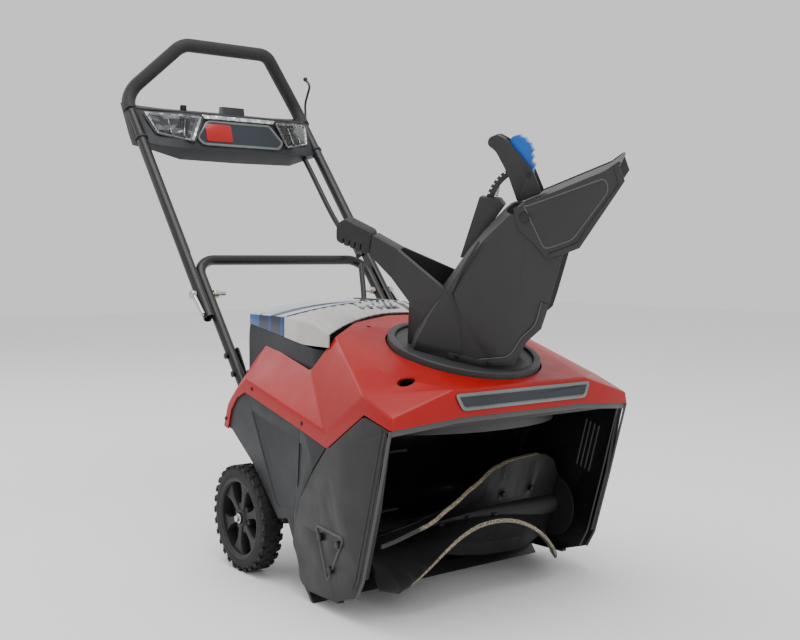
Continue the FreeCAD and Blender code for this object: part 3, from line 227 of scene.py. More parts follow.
def rotor_rubber():
    """Black rubber that shows its woven tan core where the outer edge is worn."""
    mat, nodes, links, shader, coords = start_material("rotor_rubber")
    place = nodes.new("ShaderNodeMapping")
    place.inputs["Location"].default_value = (0, -(ROTOR_Y * MM + SHIFT), -ROTOR_Z * MM)
    place.inputs["Scale"].default_value = (0, 1, 1)
    links.new(coords.outputs["Object"], place.inputs["Vector"])
    length = nodes.new("ShaderNodeVectorMath")
    length.operation = "LENGTH"
    links.new(place.outputs["Vector"], length.inputs[0])
    edge = spread_value(nodes, links, length.outputs["Value"], WORN_FROM_R * MM, WORN_TO_R * MM)
    weave = noise(nodes, links, coords, 420.0, 3.0)
    core = ramp(nodes, links, weave.outputs["Fac"],
                [(0.35, (0.05, 0.045, 0.035)), (0.55, (0.21, 0.17, 0.11)), (0.7, (0.40, 0.36, 0.27))])
    cloud = noise(nodes, links, coords, 12.0)
    skin = ramp(nodes, links, cloud.outputs["Fac"],
                [(0.35, (0.011, 0.011, 0.011)), (0.7, (0.02, 0.02, 0.021))])
    blend = nodes.new("ShaderNodeMix")
    blend.data_type = "RGBA"
    links.new(edge, blend.inputs[0])
    links.new(skin.outputs["Color"], blend.inputs[6])
    links.new(core.outputs["Color"], blend.inputs[7])
    links.new(blend.outputs[2], shader.inputs["Base Color"])
    add_roughness(nodes, links, coords, shader, 0.42, 0.08, 30.0)
    add_bump(nodes, links, shader, weave.outputs["Fac"], 0.25, 0.0005)
    return mat


def lid_glaze():
    """Tinted glossy lid: blue skirt over dark cells, pale top with navy streaks, grey rail, white panel."""
    mat, nodes, links, shader, coords = start_material("lid_glaze")
    navy, blue, pale = (0.002, 0.006, 0.045), (0.006, 0.07, 0.28), (0.46, 0.52, 0.60)
    along = spread_value(nodes, links, axis_value(nodes, links, coords, "Y"), LID_SPLIT_Y * MM + SHIFT,
                         546 * MM + SHIFT)
    top = ramp(nodes, links, along, [(0.0, (0.03, 0.16, 0.42)), (0.06, (0.50, 0.54, 0.62)), (0.20, pale),
                                     (0.24, navy), (0.36, navy), (0.40, pale), (0.62, (0.56, 0.60, 0.68)),
                                     (0.66, (0.05, 0.09, 0.22)), (0.70, pale), (0.96, (0.42, 0.48, 0.60))])
    across = spread_value(nodes, links, axis_value(nodes, links, coords, "X"), -BAY_HALF * MM, BAY_HALF * MM)
    panel = ramp(nodes, links, across, [(0.0, pale), (0.50, (0.07, 0.075, 0.08)), (0.58, (0.45, 0.46, 0.48))],
                 "CONSTANT")
    side_of = ramp(nodes, links, across, [(0.0, (0, 0, 0)), (0.50, (1, 1, 1))], "CONSTANT")
    mix_top = nodes.new("ShaderNodeMix")
    mix_top.data_type = "RGBA"
    links.new(side_of.outputs["Color"], mix_top.inputs[0])
    links.new(top.outputs["Color"], mix_top.inputs[6])
    links.new(panel.outputs["Color"], mix_top.inputs[7])
    cells = ramp(nodes, links, along, [(0.0, (0.004, 0.045, 0.20)), (0.10, navy), (0.38, (0.006, 0.03, 0.15)),
                                       (0.46, navy), (0.72, blue)], "CONSTANT")
    height = spread_value(nodes, links, axis_value(nodes, links, coords, "Z"), SKIRT_TOP_Z * MM,
                          (SKIRT_TOP_Z + 1.2) * MM)
    mix_skirt = nodes.new("ShaderNodeMix")
    mix_skirt.data_type = "RGBA"
    links.new(height, mix_skirt.inputs[0])
    links.new(cells.outputs["Color"], mix_skirt.inputs[6])
    links.new(mix_top.outputs[2], mix_skirt.inputs[7])
    links.new(mix_skirt.outputs[2], shader.inputs["Base Color"])
    add_roughness(nodes, links, coords, shader, 0.14, 0.05, 20.0)
    shader.inputs["Coat Weight"].default_value = 0.15
    shader.inputs["Specular IOR Level"].default_value = 0.4
    shader.inputs["Coat Roughness"].default_value = 0.05
    return mat


MAT = {
    "red": moulded("red_hood", (0.33, 0.0012, 0.0010), 0.42, 0.05, 900.0, 0.05, 0.05, 0.12, 0.0, 0.3),
    "plate": moulded("satin_black_steel", (0.0085, 0.0087, 0.0095), 0.42, 0.10, 700.0, 0.12, 0.07, 0.0,
                     0.0, 0.4),
    "inside": moulded("gloss_black_steel", (0.007, 0.007, 0.008), 0.22, 0.03, 500.0, 0.1, 0.06, 0.3),
    "charcoal": moulded("charcoal_plastic", (0.022, 0.0235, 0.0265), 0.50, 0.35, 1500.0, 0.07, 0.05),
    "chute": moulded("chute_plastic", (0.027, 0.027, 0.0285), 0.46, 0.32, 1600.0, 0.06, 0.05),
    "duct": moulded("duct_plastic", (0.045, 0.045, 0.045), 0.55, 0.30, 1200.0, 0.08, 0.05),
    "black": moulded("black_plastic", (0.014, 0.014, 0.0145), 0.40, 0.22, 1500.0, 0.1, 0.06),
    "tube": moulded("black_tube", (0.012, 0.012, 0.013), 0.36, 0.08, 800.0, 0.08, 0.05, 0.15),
    "grip": moulded("grip_rubber", (0.024, 0.024, 0.025), 0.62, 0.55, 1300.0, 0.06, 0.05),
    "tyre": moulded("tyre_rubber", (0.013, 0.013, 0.013), 0.68, 0.45, 1100.0, 0.14, 0.06),
    "hub": moulded("hub_plastic", (0.017, 0.017, 0.017), 0.50, 0.30, 1500.0, 0.08, 0.06),
    "ring": moulded("collar_plastic", (0.036, 0.037, 0.039), 0.46, 0.30, 1500.0, 0.06, 0.05),
    "steel": plated("zinc_steel", (0.62, 0.62, 0.61), 0.30),
    "brass": plated("gold_zinc", (0.62, 0.50, 0.26), 0.34),
    "cast": plated("cast_motor", (0.34, 0.35, 0.36), 0.48, (300.0, 300.0, 300.0)),
    "blue": moulded("blue_trigger", (0.0, 0.11, 0.50), 0.34, 0.12, 1100.0, 0.06, 0.05, 0.2),
    "silver": moulded("silver_lid", (0.47, 0.46, 0.45), 0.36, 0.45, 150.0, 0.20, 0.08, 0.2, 0.1),
    "glaze": lid_glaze(),
    "rotor": rotor_rubber(),
    "frame": moulded("plate_frame", (0.165, 0.19, 0.185), 0.30, 0.08, 700.0, 0.14, 0.06, 0.3, 0.5),
    "plate_face": moulded("plate_face", (0.014, 0.019, 0.027), 0.30, 0.05, 600.0, 0.22, 0.05, 0.4),
    "signal": moulded("signal_red", (0.36, 0.002, 0.002), 0.36, 0.04, 700.0, 0.04, 0.04, 0.3),
    "reflector": faceted_reflector(),
    "lens": clear_moulding("clear_lens", (0.97, 0.98, 1.0), 0.04, 1.0),
    # Grey for trim strips. It is also used for painted highlight lines on the black side plates and the
    # housing.
    "strip": moulded("grey_strip_and_painted_highlight", (0.062, 0.062, 0.063), 0.40, 0.12, 800.0, 0.08, 0.06),
    # A lighter grey for the grooves on the chute and deflector: a painted highlight along their edges.
    "fold": moulded("groove_painted_highlight", (0.085, 0.086, 0.088), 0.34, 0.10, 900.0, 0.06, 0.05),
    "navy": moulded("navy_recess", (0.004, 0.010, 0.05), 0.2, 0.05, 500.0, 0.2, 0.05, 0.5),
    "cell": moulded("pack_plastic", (0.02, 0.02, 0.022), 0.5, 0.3, 1500.0),
}


# --- mesh helpers ---------------------------------------------------------------------------
def new_object(name, mesh):
    obj = bpy.data.objects.new(name, mesh)
    bpy.context.scene.collection.objects.link(obj)
    return obj


def shape(name, points, faces):
    mesh = bpy.data.meshes.new(name)
    mesh.from_pydata([tuple(p) for p in points], [], faces)
    mesh.validate()
    return new_object(name, mesh)


def point_outward(mesh):
    bm = bmesh.new()
    bm.from_mesh(mesh)
    bmesh.ops.remove_doubles(bm, verts=bm.verts, dist=1e-6)
    bmesh.ops.recalc_face_normals(bm, faces=bm.faces)
    bm.to_mesh(mesh)
    bm.free()


def plain_mesh(obj, crease=32.0):
    """Turns an object with live modifiers into a plain mesh with soft shading between sharp edges."""
    bpy.context.view_layer.update()
    graph = bpy.context.evaluated_depsgraph_get()
    mesh = bpy.data.meshes.new_from_object(obj.evaluated_get(graph))
    obj.modifiers.clear()
    if obj.type == "CURVE":
        name, materials = obj.name, [m for m in obj.data.materials]
        bpy.data.objects.remove(obj)
        obj = new_object(name, mesh)
        mesh.materials.clear()
        for m in materials:
            mesh.materials.append(m)
    else:
        obj.data = mesh
    mesh.name = obj.name
    for polygon in mesh.polygons:
        polygon.use_smooth = True
    mesh.set_sharp_from_angle(angle=math.radians(crease))
    return obj


def add_bevel(obj, width, segments=2, angle=30.0):
    bevel = obj.modifiers.new("edge", "BEVEL")
    bevel.width = width * MM
    bevel.segments = segments
    bevel.limit_method = "ANGLE"
    bevel.angle_limit = math.radians(angle)
    bevel.harden_normals = False
    return bevel


def add_wall(obj, thickness, offset=-1.0):
    wall = obj.modifiers.new("wall", "SOLIDIFY")
    wall.thickness = thickness * MM
    wall.offset = offset
    wall.use_even_offset = True
    return wall


def cut_away(obj, cutter):
    boolean = obj.modifiers.new("hole", "BOOLEAN")
    boolean.operation = "DIFFERENCE"
    boolean.solver = "EXACT"
    boolean.object = cutter
    obj = plain_mesh(obj)
    bpy.data.objects.remove(cutter)
    return obj


def paint(obj, *names):
    obj.data.materials.clear()
    for name in names:
        obj.data.materials.append(MAT[name])
    return obj


def settle(obj, body, replaced=()):
    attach(obj, body)
    if replaced:
        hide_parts(*replaced)
    return obj


def dressed(node, material, bevel=0.8, segments=2, angle=32.0):
    """A CAD node's own shape with its edges eased, its flats joined up and a finish on it."""
    mesh = NODES[node].data.copy()
    bm = bmesh.new()
    bm.from_mesh(mesh)
    bmesh.ops.remove_doubles(bm, verts=bm.verts, dist=2e-6)
    bmesh.ops.dissolve_limit(bm, angle_limit=math.radians(0.4), verts=bm.verts, edges=bm.edges)
    bm.to_mesh(mesh)
    bm.free()
    obj = new_object(node + "_finish", mesh)
    if bevel:
        add_bevel(obj, bevel, segments, angle)
    obj = plain_mesh(obj, angle)
    paint(obj, material)
    return settle(obj, NODES[node]["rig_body"], [node])


def bead(name, points, radius, material, body, closed=False, corners=4):
    """A raised line that follows the points; its corners are swept round."""
    curve = bpy.data.curves.new(name, "CURVE")
    curve.dimensions = "3D"
    curve.bevel_depth = radius * MM
    curve.bevel_resolution = 3
    curve.use_fill_caps = True
    spline = curve.splines.new("POLY")
    path = soften(points, closed, corners)
    spline.points.add(len(path) - 1)
    for target, point in zip(spline.points, path):
        target.co = (*point, 1)
    spline.use_cyclic_u = closed
    obj = plain_mesh(new_object(name, curve), 50.0)
    paint(obj, material)
    return settle(obj, body)


def soften(points, closed, steps):
    """The same run of points with each corner replaced by a short curve."""
    count = len(points)
    path = []
    for i, point in enumerate(points):
        if not closed and i in (0, count - 1):
            path.append(point)
            continue
        before, after = points[i - 1], points[(i + 1) % count]
        reach = min(9 * MM, 0.4 * (before - point).length, 0.4 * (after - point).length)
        start = point + (before - point).normalized() * reach
        end = point + (after - point).normalized() * reach
        for k in range(steps + 1):
            t = k / steps
            path.append(start * (1 - t) ** 2 + point * (2 * t * (1 - t)) + end * t ** 2)
    return path


def lathe(name, profile, centre, steps, material):
    """Turns an (x, radius) profile round an axle that lies along X."""
    points, faces = [], []
    count = len(profile)
    for k in range(steps):
        a = 2 * math.pi * k / steps
        for x, r in profile:
            points.append(at(x, centre[0] + r * math.cos(a), centre[1] + r * math.sin(a)))
    for k in range(steps):
        for i in range(count):
            j, n = (i + 1) % count, (k + 1) % steps
            faces.append((k * count + i, k * count + j, n * count + j, n * count + i))
    obj = shape(name, points, faces)
    point_outward(obj.data)
    paint(obj, material)
    return obj


def prism(name, outline, direction, material, bevel=0.6, segments=2):
    """A closed outline of points pushed along a direction."""
    count = len(outline)
    points = list(outline) + [p + direction for p in outline]
    faces = [tuple(range(count)), tuple(range(2 * count - 1, count - 1, -1))]
    faces += [(i, (i + 1) % count, count + (i + 1) % count, count + i) for i in range(count)]
    obj = shape(name, points, faces)
    point_outward(obj.data)
    if bevel:
        add_bevel(obj, bevel, segments)
    obj = plain_mesh(obj)
    return paint(obj, material)


def ribbon(name, outer, inner, lift, material, body, bevel=0.5):
    """A flat raised strip between two runs of points."""
    count = len(outer)
    points = outer + inner + [p + lift for p in outer] + [p + lift for p in inner]
    faces = []
    for i in range(count - 1):
        a, b, c, d = i, i + 1, count + i + 1, count + i
        faces += [(a, b, c, d), tuple(2 * count + v for v in (d, c, b, a)),
                  (a, 2 * count + a, 2 * count + b, b), (d, c, 2 * count + c, 2 * count + d)]
    for a, d in ((0, count), (count - 1, 2 * count - 1)):
        faces.append((a, d, 2 * count + d, 2 * count + a))
    obj = shape(name, points, faces)
    point_outward(obj.data)
    add_bevel(obj, bevel)
    obj = plain_mesh(obj)
    paint(obj, material)
    return settle(obj, body)


# --- repeating pieces, made by geometry nodes -----------------------------------------------
def repeat_tree(name, material, round_axle):
    """A tree that puts copies of its geometry round an axle, or along a line, and realizes them."""
    tree = bpy.data.node_groups.new(name, "GeometryNodeTree")
    face = tree.interface
    face.new_socket("Geometry", in_out="INPUT", socket_type="NodeSocketGeometry")
    face.new_socket("Count", in_out="INPUT", socket_type="NodeSocketInt")
    face.new_socket("Radius" if round_axle else "Step", in_out="INPUT",
                    socket_type="NodeSocketFloat" if round_axle else "NodeSocketVector")
    face.new_socket("Geometry", in_out="OUTPUT", socket_type="NodeSocketGeometry")
    nodes, links = tree.nodes, tree.links
    given, result = nodes.new("NodeGroupInput"), nodes.new("NodeGroupOutput")
    copies = nodes.new("GeometryNodeInstanceOnPoints")
    links.new(given.outputs["Geometry"], copies.inputs["Instance"])
    if round_axle:
        places = nodes.new("GeometryNodeMeshCircle")
        links.new(given.outputs["Count"], places.inputs["Vertices"])
        links.new(given.outputs["Radius"], places.inputs["Radius"])
        outward = nodes.new("FunctionNodeAlignEulerToVector")
        outward.axis, outward.pivot_axis = "X", "Z"
        links.new(nodes.new("GeometryNodeInputPosition").outputs[0], outward.inputs["Vector"])
        links.new(outward.outputs[0], copies.inputs["Rotation"])
        links.new(places.outputs["Mesh"], copies.inputs["Points"])
    else:
        places = nodes.new("GeometryNodeMeshLine")
        links.new(given.outputs["Count"], places.inputs["Count"])
        links.new(given.outputs["Step"], places.inputs["Offset"])
        links.new(places.outputs["Mesh"], copies.inputs["Points"])
    whole, coat = nodes.new("GeometryNodeRealizeInstances"), nodes.new("GeometryNodeSetMaterial")
    coat.inputs["Material"].default_value = MAT[material]
    links.new(copies.outputs["Instances"], whole.inputs["Geometry"])
    links.new(whole.outputs["Geometry"], coat.inputs["Geometry"])
    links.new(coat.outputs["Geometry"], result.inputs["Geometry"])
    return tree


def repeat(obj, material, count, spacing, place=None, round_axle=False):
    """Replaces obj's mesh by count copies; place then moves the whole set where it belongs."""
    tree = repeat_tree(obj.name + "_repeat", material, round_axle)
    modifier = obj.modifiers.new("repeat", "NODES")
    modifier.node_group = tree
    values = {"Count": count, "Radius": spacing, "Step": spacing}
    for item in tree.interface.items_tree:
        if item.in_out == "INPUT" and item.name in values:
            modifier[item.identifier] = values[item.name]
    obj = plain_mesh(obj)
    if place is not None:
        obj.data.transform(place)
    point_outward(obj.data)
    return paint(obj, material)


def about_axle(x, y, z, turn=0.0):
    """Takes a set made in the XY plane to an axle along X at the given machine point."""
    upright = Matrix.Rotation(math.radians(90), 4, "Y")
    return Matrix.Translation(at(x, y, z)) @ Matrix.Rotation(math.radians(turn), 4, "X") @ upright


# --- hood -----------------------------------------------------------------------------------
def hood_top_z(y):
    return 431.0 + math.tan(math.radians(COLLAR_TILT)) * (y - 145.0)


STRIP_LOW = [(181, 279), (259, 298), (379, 325), (441, 339), (468, 344)]
STRIP_HIGH = [(185, 305), (255, 321), (340, 340), (410, 356), (466, 369)]
FENDER_IN = [(500, 330), (524, 304), (537, 266)]
FENDER_OUT = [(502, 347), (540, 313), (557, 270)]


def hood_shell():
    spots = {"shoulder": (150, -8, hood_top_z(-8)), "corner": (267, 0, 351), "corner_low": (270, -1, 332),
             "mid_low": (140, -12, 343), "notch": (270, 71, 349), "brow": (268, 75, 378),
             "peak": (205, 250, hood_top_z(250)), "rear_mid": (120, 315, hood_top_z(315)),
             "rear_top": (25, 345, hood_top_z(345)), "waist": (221.5, 309, 396),
             "fender_top": (221.5, 486, 422), "fender_back": (223, 556, 318)}
    for tag, run in (("low", STRIP_LOW), ("high", STRIP_HIGH), ("in", FENDER_IN), ("out", FENDER_OUT)):
        for i, (y, z) in enumerate(run):
            spots[tag, i] = (270, y, z)
    half = [("shoulder", "corner", "brow"), ("shoulder", "brow", "peak", "rear_mid", "rear_top"),
            ("shoulder", "mid_low", "corner"), ("mid_low", "corner_low", "corner"),
            ("corner", "corner_low", "notch", "brow"), ("brow", "notch", ("low", 0), ("high", 0)),
            ("brow", ("high", 0), "waist"), ("brow", "waist", "peak"),
            ("waist", ("high", 4), "fender_top"), ("fender_top", ("high", 4), ("out", 0)),
            ("fender_top", ("out", 0), ("out", 1)), ("fender_top", ("out", 1), "fender_back"),
            ("fender_back", ("out", 1), ("out", 2)), (("high", 4), ("low", 4), ("in", 0), ("out", 0))]
    for i in range(4):
        half += [(("high", i), ("low", i), ("low", i + 1), ("high", i + 1)),
                 ("waist", ("high", i), ("high", i + 1))]
    for i in range(2):
        half.append((("out", i), ("in", i), ("in", i + 1), ("out", i + 1)))
    names = list(spots)
    points = [at(side * spots[n][0], *spots[n][1:]) for side in (-1, 1) for n in names]
    index = {(n, side): names.index(n) + (len(names) if side > 0 else 0) for n in names for side in (-1, 1)}
    faces = []
    for corner_names in half:
        faces.append(tuple(index[n, 1] for n in corner_names))
        faces.append(tuple(index[n, -1] for n in reversed(corner_names)))
    faces += [(index["shoulder", -1], index["mid_low", -1], index["mid_low", 1], index["shoulder", 1]),
              (index["shoulder", -1], index["shoulder", 1], index["rear_top", 1], index["rear_top", -1])]
    shell = shape("hood_shell", points, faces)
    add_bevel(shell, 5.0, 3, 7.0)
    shell = plain_mesh(shell)
    add_wall(shell, 2.6)
    shell = plain_mesh(shell, 40.0)
    shell = cut_away(shell, drill("collar_cut", COLLAR, COLLAR_R + 3, 0.12))
    oval = Matrix.Translation(at(-193, 62, 390)) @ Matrix.Diagonal((1.3, 1.0, 1, 1))
    shell = cut_away(shell, drill("oval_cut", oval, 12.0, 0.12))
    shell = cut_away(shell, drill("small_cut", Matrix.Translation(at(-108, 290, 470)), 4.0, 0.05))
    shell = plain_mesh(shell, 28.0)
    paint(shell, "red")
    settle(shell, "chassis", ["hood"])


def drill(name, place, radius, depth):
    """A round cutter along its own Z."""
    steps = 96
    points, faces = [], [tuple(range(steps)), tuple(range(2 * steps - 1, steps - 1, -1))]
    for z in (-depth / 2, depth / 2):
        for k in range(steps):
            a = 2 * math.pi * k / steps
            points.append(place @ Vector((radius * MM * math.cos(a), radius * MM * math.sin(a), z)))
    faces += [(k, (k + 1) % steps, steps + (k + 1) % steps, steps + k) for k in range(steps)]
    cutter = shape(name, points, faces)
    point_outward(cutter.data)
    return cutter


def hood_lip():
    """The dark lip that shows under the hood's front edge."""
    run = [(-265, 2, 333), (-140, -8.5, 344.5), (140, -8.5, 344.5), (265, 2, 333)]
    outer = [at(x, y, z) for x, y, z in run]
    inner = [at(x, y + 2, z - 12) for x, y, z in run]
    ribbon("hood_lip", outer, inner, Vector((0, 4 * MM, 0)), "strip", "chassis", 0.8)
    back = [at(x, y + 7, z - 12) for x, y, z in run]
    ribbon("hood_lip_return", inner, back, Vector((0, 0, 3 * MM)), "black", "chassis", 0.5)


def framed_plate(name, outline, lift, border, replaced, body):
    """A raised plate with a sloped metal frame round a dark, plain face."""
    outline = soften(outline, True, 4)
    count = len(outline)
    middle = sum(outline, Vector()) / count

    def inset(points, by, up):
        moved = []
        for i, p in enumerate(points):
            a, b = (points[i - 1] - p).normalized(), (points[(i + 1) % count] - p).normalized()
            bisector = (a + b).normalized() if (a + b).length > 1e-4 else (middle - p).normalized()
            half = max(0.5, a.angle(b) / 2)
            moved.append(p + bisector * (by * MM / math.sin(half)) + up)
        return moved

    rings = [outline, [p + lift * 0.55 for p in outline], inset(outline, border * 0.35, lift),
             inset(outline, border * 0.75, lift), inset(outline, border, lift * 0.45)]
    points = [p for ring in rings for p in ring] + [middle + lift * 0.45]
    faces, inner = [tuple(range(count))[::-1]], []
    for r in range(len(rings) - 1):
        for i in range(count):
            j = (i + 1) % count
            faces.append((r * count + i, r * count + j, (r + 1) * count + j, (r + 1) * count + i))
    last = (len(rings) - 1) * count
    for i in range(count):
        inner.append(len(faces))
        faces.append((last + i, last + (i + 1) % count, len(points) - 1))
    plate = shape(name, points, faces)
    plate.data.materials.append(MAT["frame"])
    plate.data.materials.append(MAT["plate_face"])
    for i, polygon in enumerate(plate.data.polygons):
        polygon.material_index = 1 if i in inner else 0
    point_outward(plate.data)
    plate = plain_mesh(plate, 25.0)
    return settle(plate, body, replaced)


def front_plate():
    corners = [(-136, 353), (146, 353), (158, 381), (-150, 381)]
    outline = [at(x, -13.2 + (z - 343) * 0.09, z) for x, z in corners]
    framed_plate("hood_name_plate", outline, Vector((0, -3.2 * MM, 0.2 * MM)), 6.0, ["hood_emblem_plate"],
                 "chassis")


# --- housing and side plates ----------------------------------------------------------------
PLATE_FRONT = [(2, 331), (40, 196), (76, 77), (95, 45)]


def edge_run(x, inset_y, z_from, z_to):
    """Points along a side plate's front edge, moved rearward by inset_y."""
    run = []
    for (y0, z0), (y1, z1) in zip(PLATE_FRONT, PLATE_FRONT[1:]):
        for t in (0.0, 0.5, 1.0):
            z = z0 + (z1 - z0) * t
            if z_to <= z <= z_from:
                run.append(at(x, y0 + (y1 - y0) * t + inset_y, z))
    return run


def side_plate_detail():
    for side, tag in ((-1, "right"), (1, "left")):
        outside, inside = side * (HALF_WIDTH - 0.2), side * (HALF_WIDTH - 2.3)
        for k, inset_y in enumerate((9.0, 19.0)):
            bead("plate_rib_%s_%d" % (tag, k), edge_run(outside, inset_y, 331, 60), 1.6, "plate", "chassis")
        # The edge and lip beads are grey on the black plate: a painted highlight along the front edge and its
        # inner lip.
        edge = edge_run(side * (HALF_WIDTH - 2.2), 0.5, 331, 45)
        bead("plate_edge_highlight_%s" % tag, edge, 2.4, "strip", "chassis")
        lip = [at(inside - side * 9, y + 10, z) for y, z in PLATE_FRONT]
        bead("plate_lip_highlight_%s" % tag, lip, 1.8, "strip", "chassis")
    # The pocket's frame bead is grey on the black plate: a painted highlight round its edge.
    corners = [(214, 142), (131, 136), (179, 53)]
    bead("bearing_pocket_highlight", [at(-HALF_WIDTH + 0.4, y, z) for y, z in corners], 2.6, "strip", "chassis", True)
    arc = [at(HALF_WIDTH - 3.0, ROTOR_Y + 112 * math.cos(a), ROTOR_Z + 112 * math.sin(a))
           for a in [math.radians(-58 + 9 * k) for k in range(19)]]
    bead("plate_arc_ridge", arc, 2.0, "plate", "chassis")
    # The louvre ribs are grey on the black plate: painted highlight lines.
    rib = shape("side_louvre_highlights", *thin_rib(96.0, 3.0, 2.4))
    place = Matrix.Translation(at(HALF_WIDTH - 3.5, 78, 236)) @ Matrix.Rotation(math.radians(16), 4, "X")
    louvres = repeat(rib, "strip", 4, (0.0, 11 * MM, 0.0), place)
    settle(louvres, "chassis")


def thin_rib(length, width, height):
    """A long low rib along Z that stands up towards -X, with chamfered edges."""
    l, w, h = length * MM / 2, width * MM / 2, height * MM
    base = [(0, -w, -l), (0, w, -l), (0, w, l), (0, -w, l)]
    top = [(-h, -w * 0.4, -l + h), (-h, w * 0.4, -l + h), (-h, w * 0.4, l - h), (-h, -w * 0.4, l - h)]
    faces = [(3, 2, 1, 0), (4, 5, 6, 7)] + [(i, (i + 1) % 4, 4 + (i + 1) % 4, 4 + i) for i in range(4)]
    return base + top, faces


def housing_detail():
    """Pressed cross ribs on the back of the housing, in a lighter grey than the housing: painted highlight
    lines.
    """
    for k, (angle, x0, x1) in enumerate(((2, -262, -40), (-16, -262, -70), (-30, -262, 250))):
        a = math.radians(angle)
        y, z = ROTOR_Y + 123.2 * math.cos(a), ROTOR_Z + 123.2 * math.sin(a)
        bead("housing_highlight_rib_%d" % k, [at(x0, y, z), at(x1, y, z)], 2.2, "strip", "chassis")
    bead("housing_top_highlight_rib", [at(-262, 277, 236), at(-30, 277, 236)], 2.4, "strip", "chassis")


# --- wheels ---------------------------------------------------------------------------------
def tyre_profile(side):
    half = [(238.5, 80), (238.2, 87), (239.6, 93), (243, 97.4), (250, 98.6), (259.5, 99)]
    far = [(519 - x, r) for x, r in half[::-1]]
    run = half + far + [(280, 78.2), (239, 78.2)]
    return [(side * x, r) for x, r in run]


def tread_block(width, length):
    """A chevron-ended block, X outwards, Y round the tyre, Z across it."""
    w, l = width * MM / 2, length * MM / 2
    plan = [(-l, -w), (l * 0.45, -w), (l, 0), (l * 0.45, w), (-l, w), (-l * 0.4, 0)]
    low, high = -3.5 * MM, 2.4 * MM
    points = [(low, y, z) for y, z in plan] + [(high, y * 0.9, z * 0.93) for y, z in plan]
    count = len(plan)
    faces = [tuple(range(count - 1, -1, -1)), tuple(range(count, 2 * count))]
    faces += [(i, (i + 1) % count, count + (i + 1) % count, count + i) for i in range(count)]
    return points, faces


def wheel(side, tag):
    body = "wheel_" + tag
    centre = (WHEEL_Y, WHEEL_R)
    casing = lathe("tyre_casing_" + tag, tyre_profile(side), centre, 120, "tyre")
    plain_mesh(casing, 40.0)
    settle(casing, body, ["tyre_" + tag])
    rows = ((-14.0, 13.0, 0.0), (0.0, 12.0, 6.4), (14.0, 13.0, 0.0))
    for k, (across, width, turn) in enumerate(rows):
        block = shape("tread_%s_%d" % (tag, k), *tread_block(width, 15.0))
        blocks = repeat(block, "tyre", 28, 99.0 * MM,
                        about_axle(side * (259.5 + across), WHEEL_Y, WHEEL_R, turn), True)
        settle(blocks, body)
    lug = shape("side_lugs_" + tag, *tread_block(5.0, 8.0))
    lugs = repeat(lug, "tyre", 28, 93.0 * MM, about_axle(side * 277.5, WHEEL_Y, WHEEL_R, 3.0), True)
    settle(lugs, body)

    def out(x):
        return side * x
    rim = [(out(240), 78), (out(240), 69), (out(276), 69), (out(279.5), 71), (out(281), 75), (out(280), 78)]
    settle(lathe("hub_rim_" + tag, rim, centre, 96, "hub"), body, ["wheel_hub_" + tag])
    dish = [(out(251), 70), (out(251), 13), (out(255), 13), (out(255), 70)]
    settle(lathe("hub_dish_" + tag, dish, centre, 96, "black"), body)
    boss = [(out(238), 9.2), (out(238), 17), (out(250), 19), (out(270), 18), (out(275), 15.5),
            (out(276), 12), (out(274), 9.2)]
    settle(lathe("hub_boss_" + tag, boss, centre, 64, "hub"), body)
    spoke = shape("hub_spokes_" + tag, *spoke_blade())
    add_bevel(spoke, 1.6, 2, 25.0)
    spoke = plain_mesh(spoke)
    spokes = repeat(spoke, "hub", 6, 0.001 * MM, about_axle(side * 262, WHEEL_Y, WHEEL_R, 12.0), True)
    settle(plain_mesh(spokes), body)
    web = shape("hub_webs_" + tag, *web_blade())
    add_bevel(web, 1.2, 2, 25.0)
    web = plain_mesh(web)
    webs = repeat(web, "hub", 6, 0.001 * MM, about_axle(side * 262, WHEEL_Y, WHEEL_R, 42.0), True)
    settle(plain_mesh(webs), body)


def blade_solid(plan, depth):
    points = [(x * MM, y * MM, z * MM) for z in (-depth, depth) for x, y in plan]
    count = len(plan)
    faces = [tuple(range(count - 1, -1, -1)), tuple(range(count, 2 * count))]
    faces += [(i, (i + 1) % count, count + (i + 1) % count, count + i) for i in range(count)]
    return points, faces


def spoke_blade():
    """Wide flared spoke, X outwards from the boss to the rim."""
    return blade_solid([(13, -7), (26, -6), (48, -7.5), (62, -15), (70.5, -24), (70.5, 24), (62, 15),
                        (48, 7.5), (26, 6), (13, 7)], 11.0)


def web_blade():
    """Short teardrop web between two spokes."""
    return blade_solid([(14, -5), (24, -8), (30, 0), (24, 8), (14, 5)], 9.0)


# --- battery lid ----------------------------------------------------------------------------
def lid_edge_z(y):
    return 470 + 19 * math.sin(min(1.0, (y - 250) / 250.0) * math.pi / 2)


def lid_front_y(x):
    return 352 - 92 * (abs(x) / BAY_HALF) ** 1.6


def lid_top_z(x, y):
    """Height of the crowned lid, which slopes down to the hood over its front 60 mm."""
    side = 1 - (x / BAY_HALF) ** 2
    rise = max(0.0, 1 - (y - lid_front_y(x)) / 60.0)
    return lid_edge_z(y) + 24 * side - (9 + 4 * side) * rise ** 1.5


def rim_z(y):
    return max(431 + (y - 284) * 37 / 261.0 + 0.6, 440)


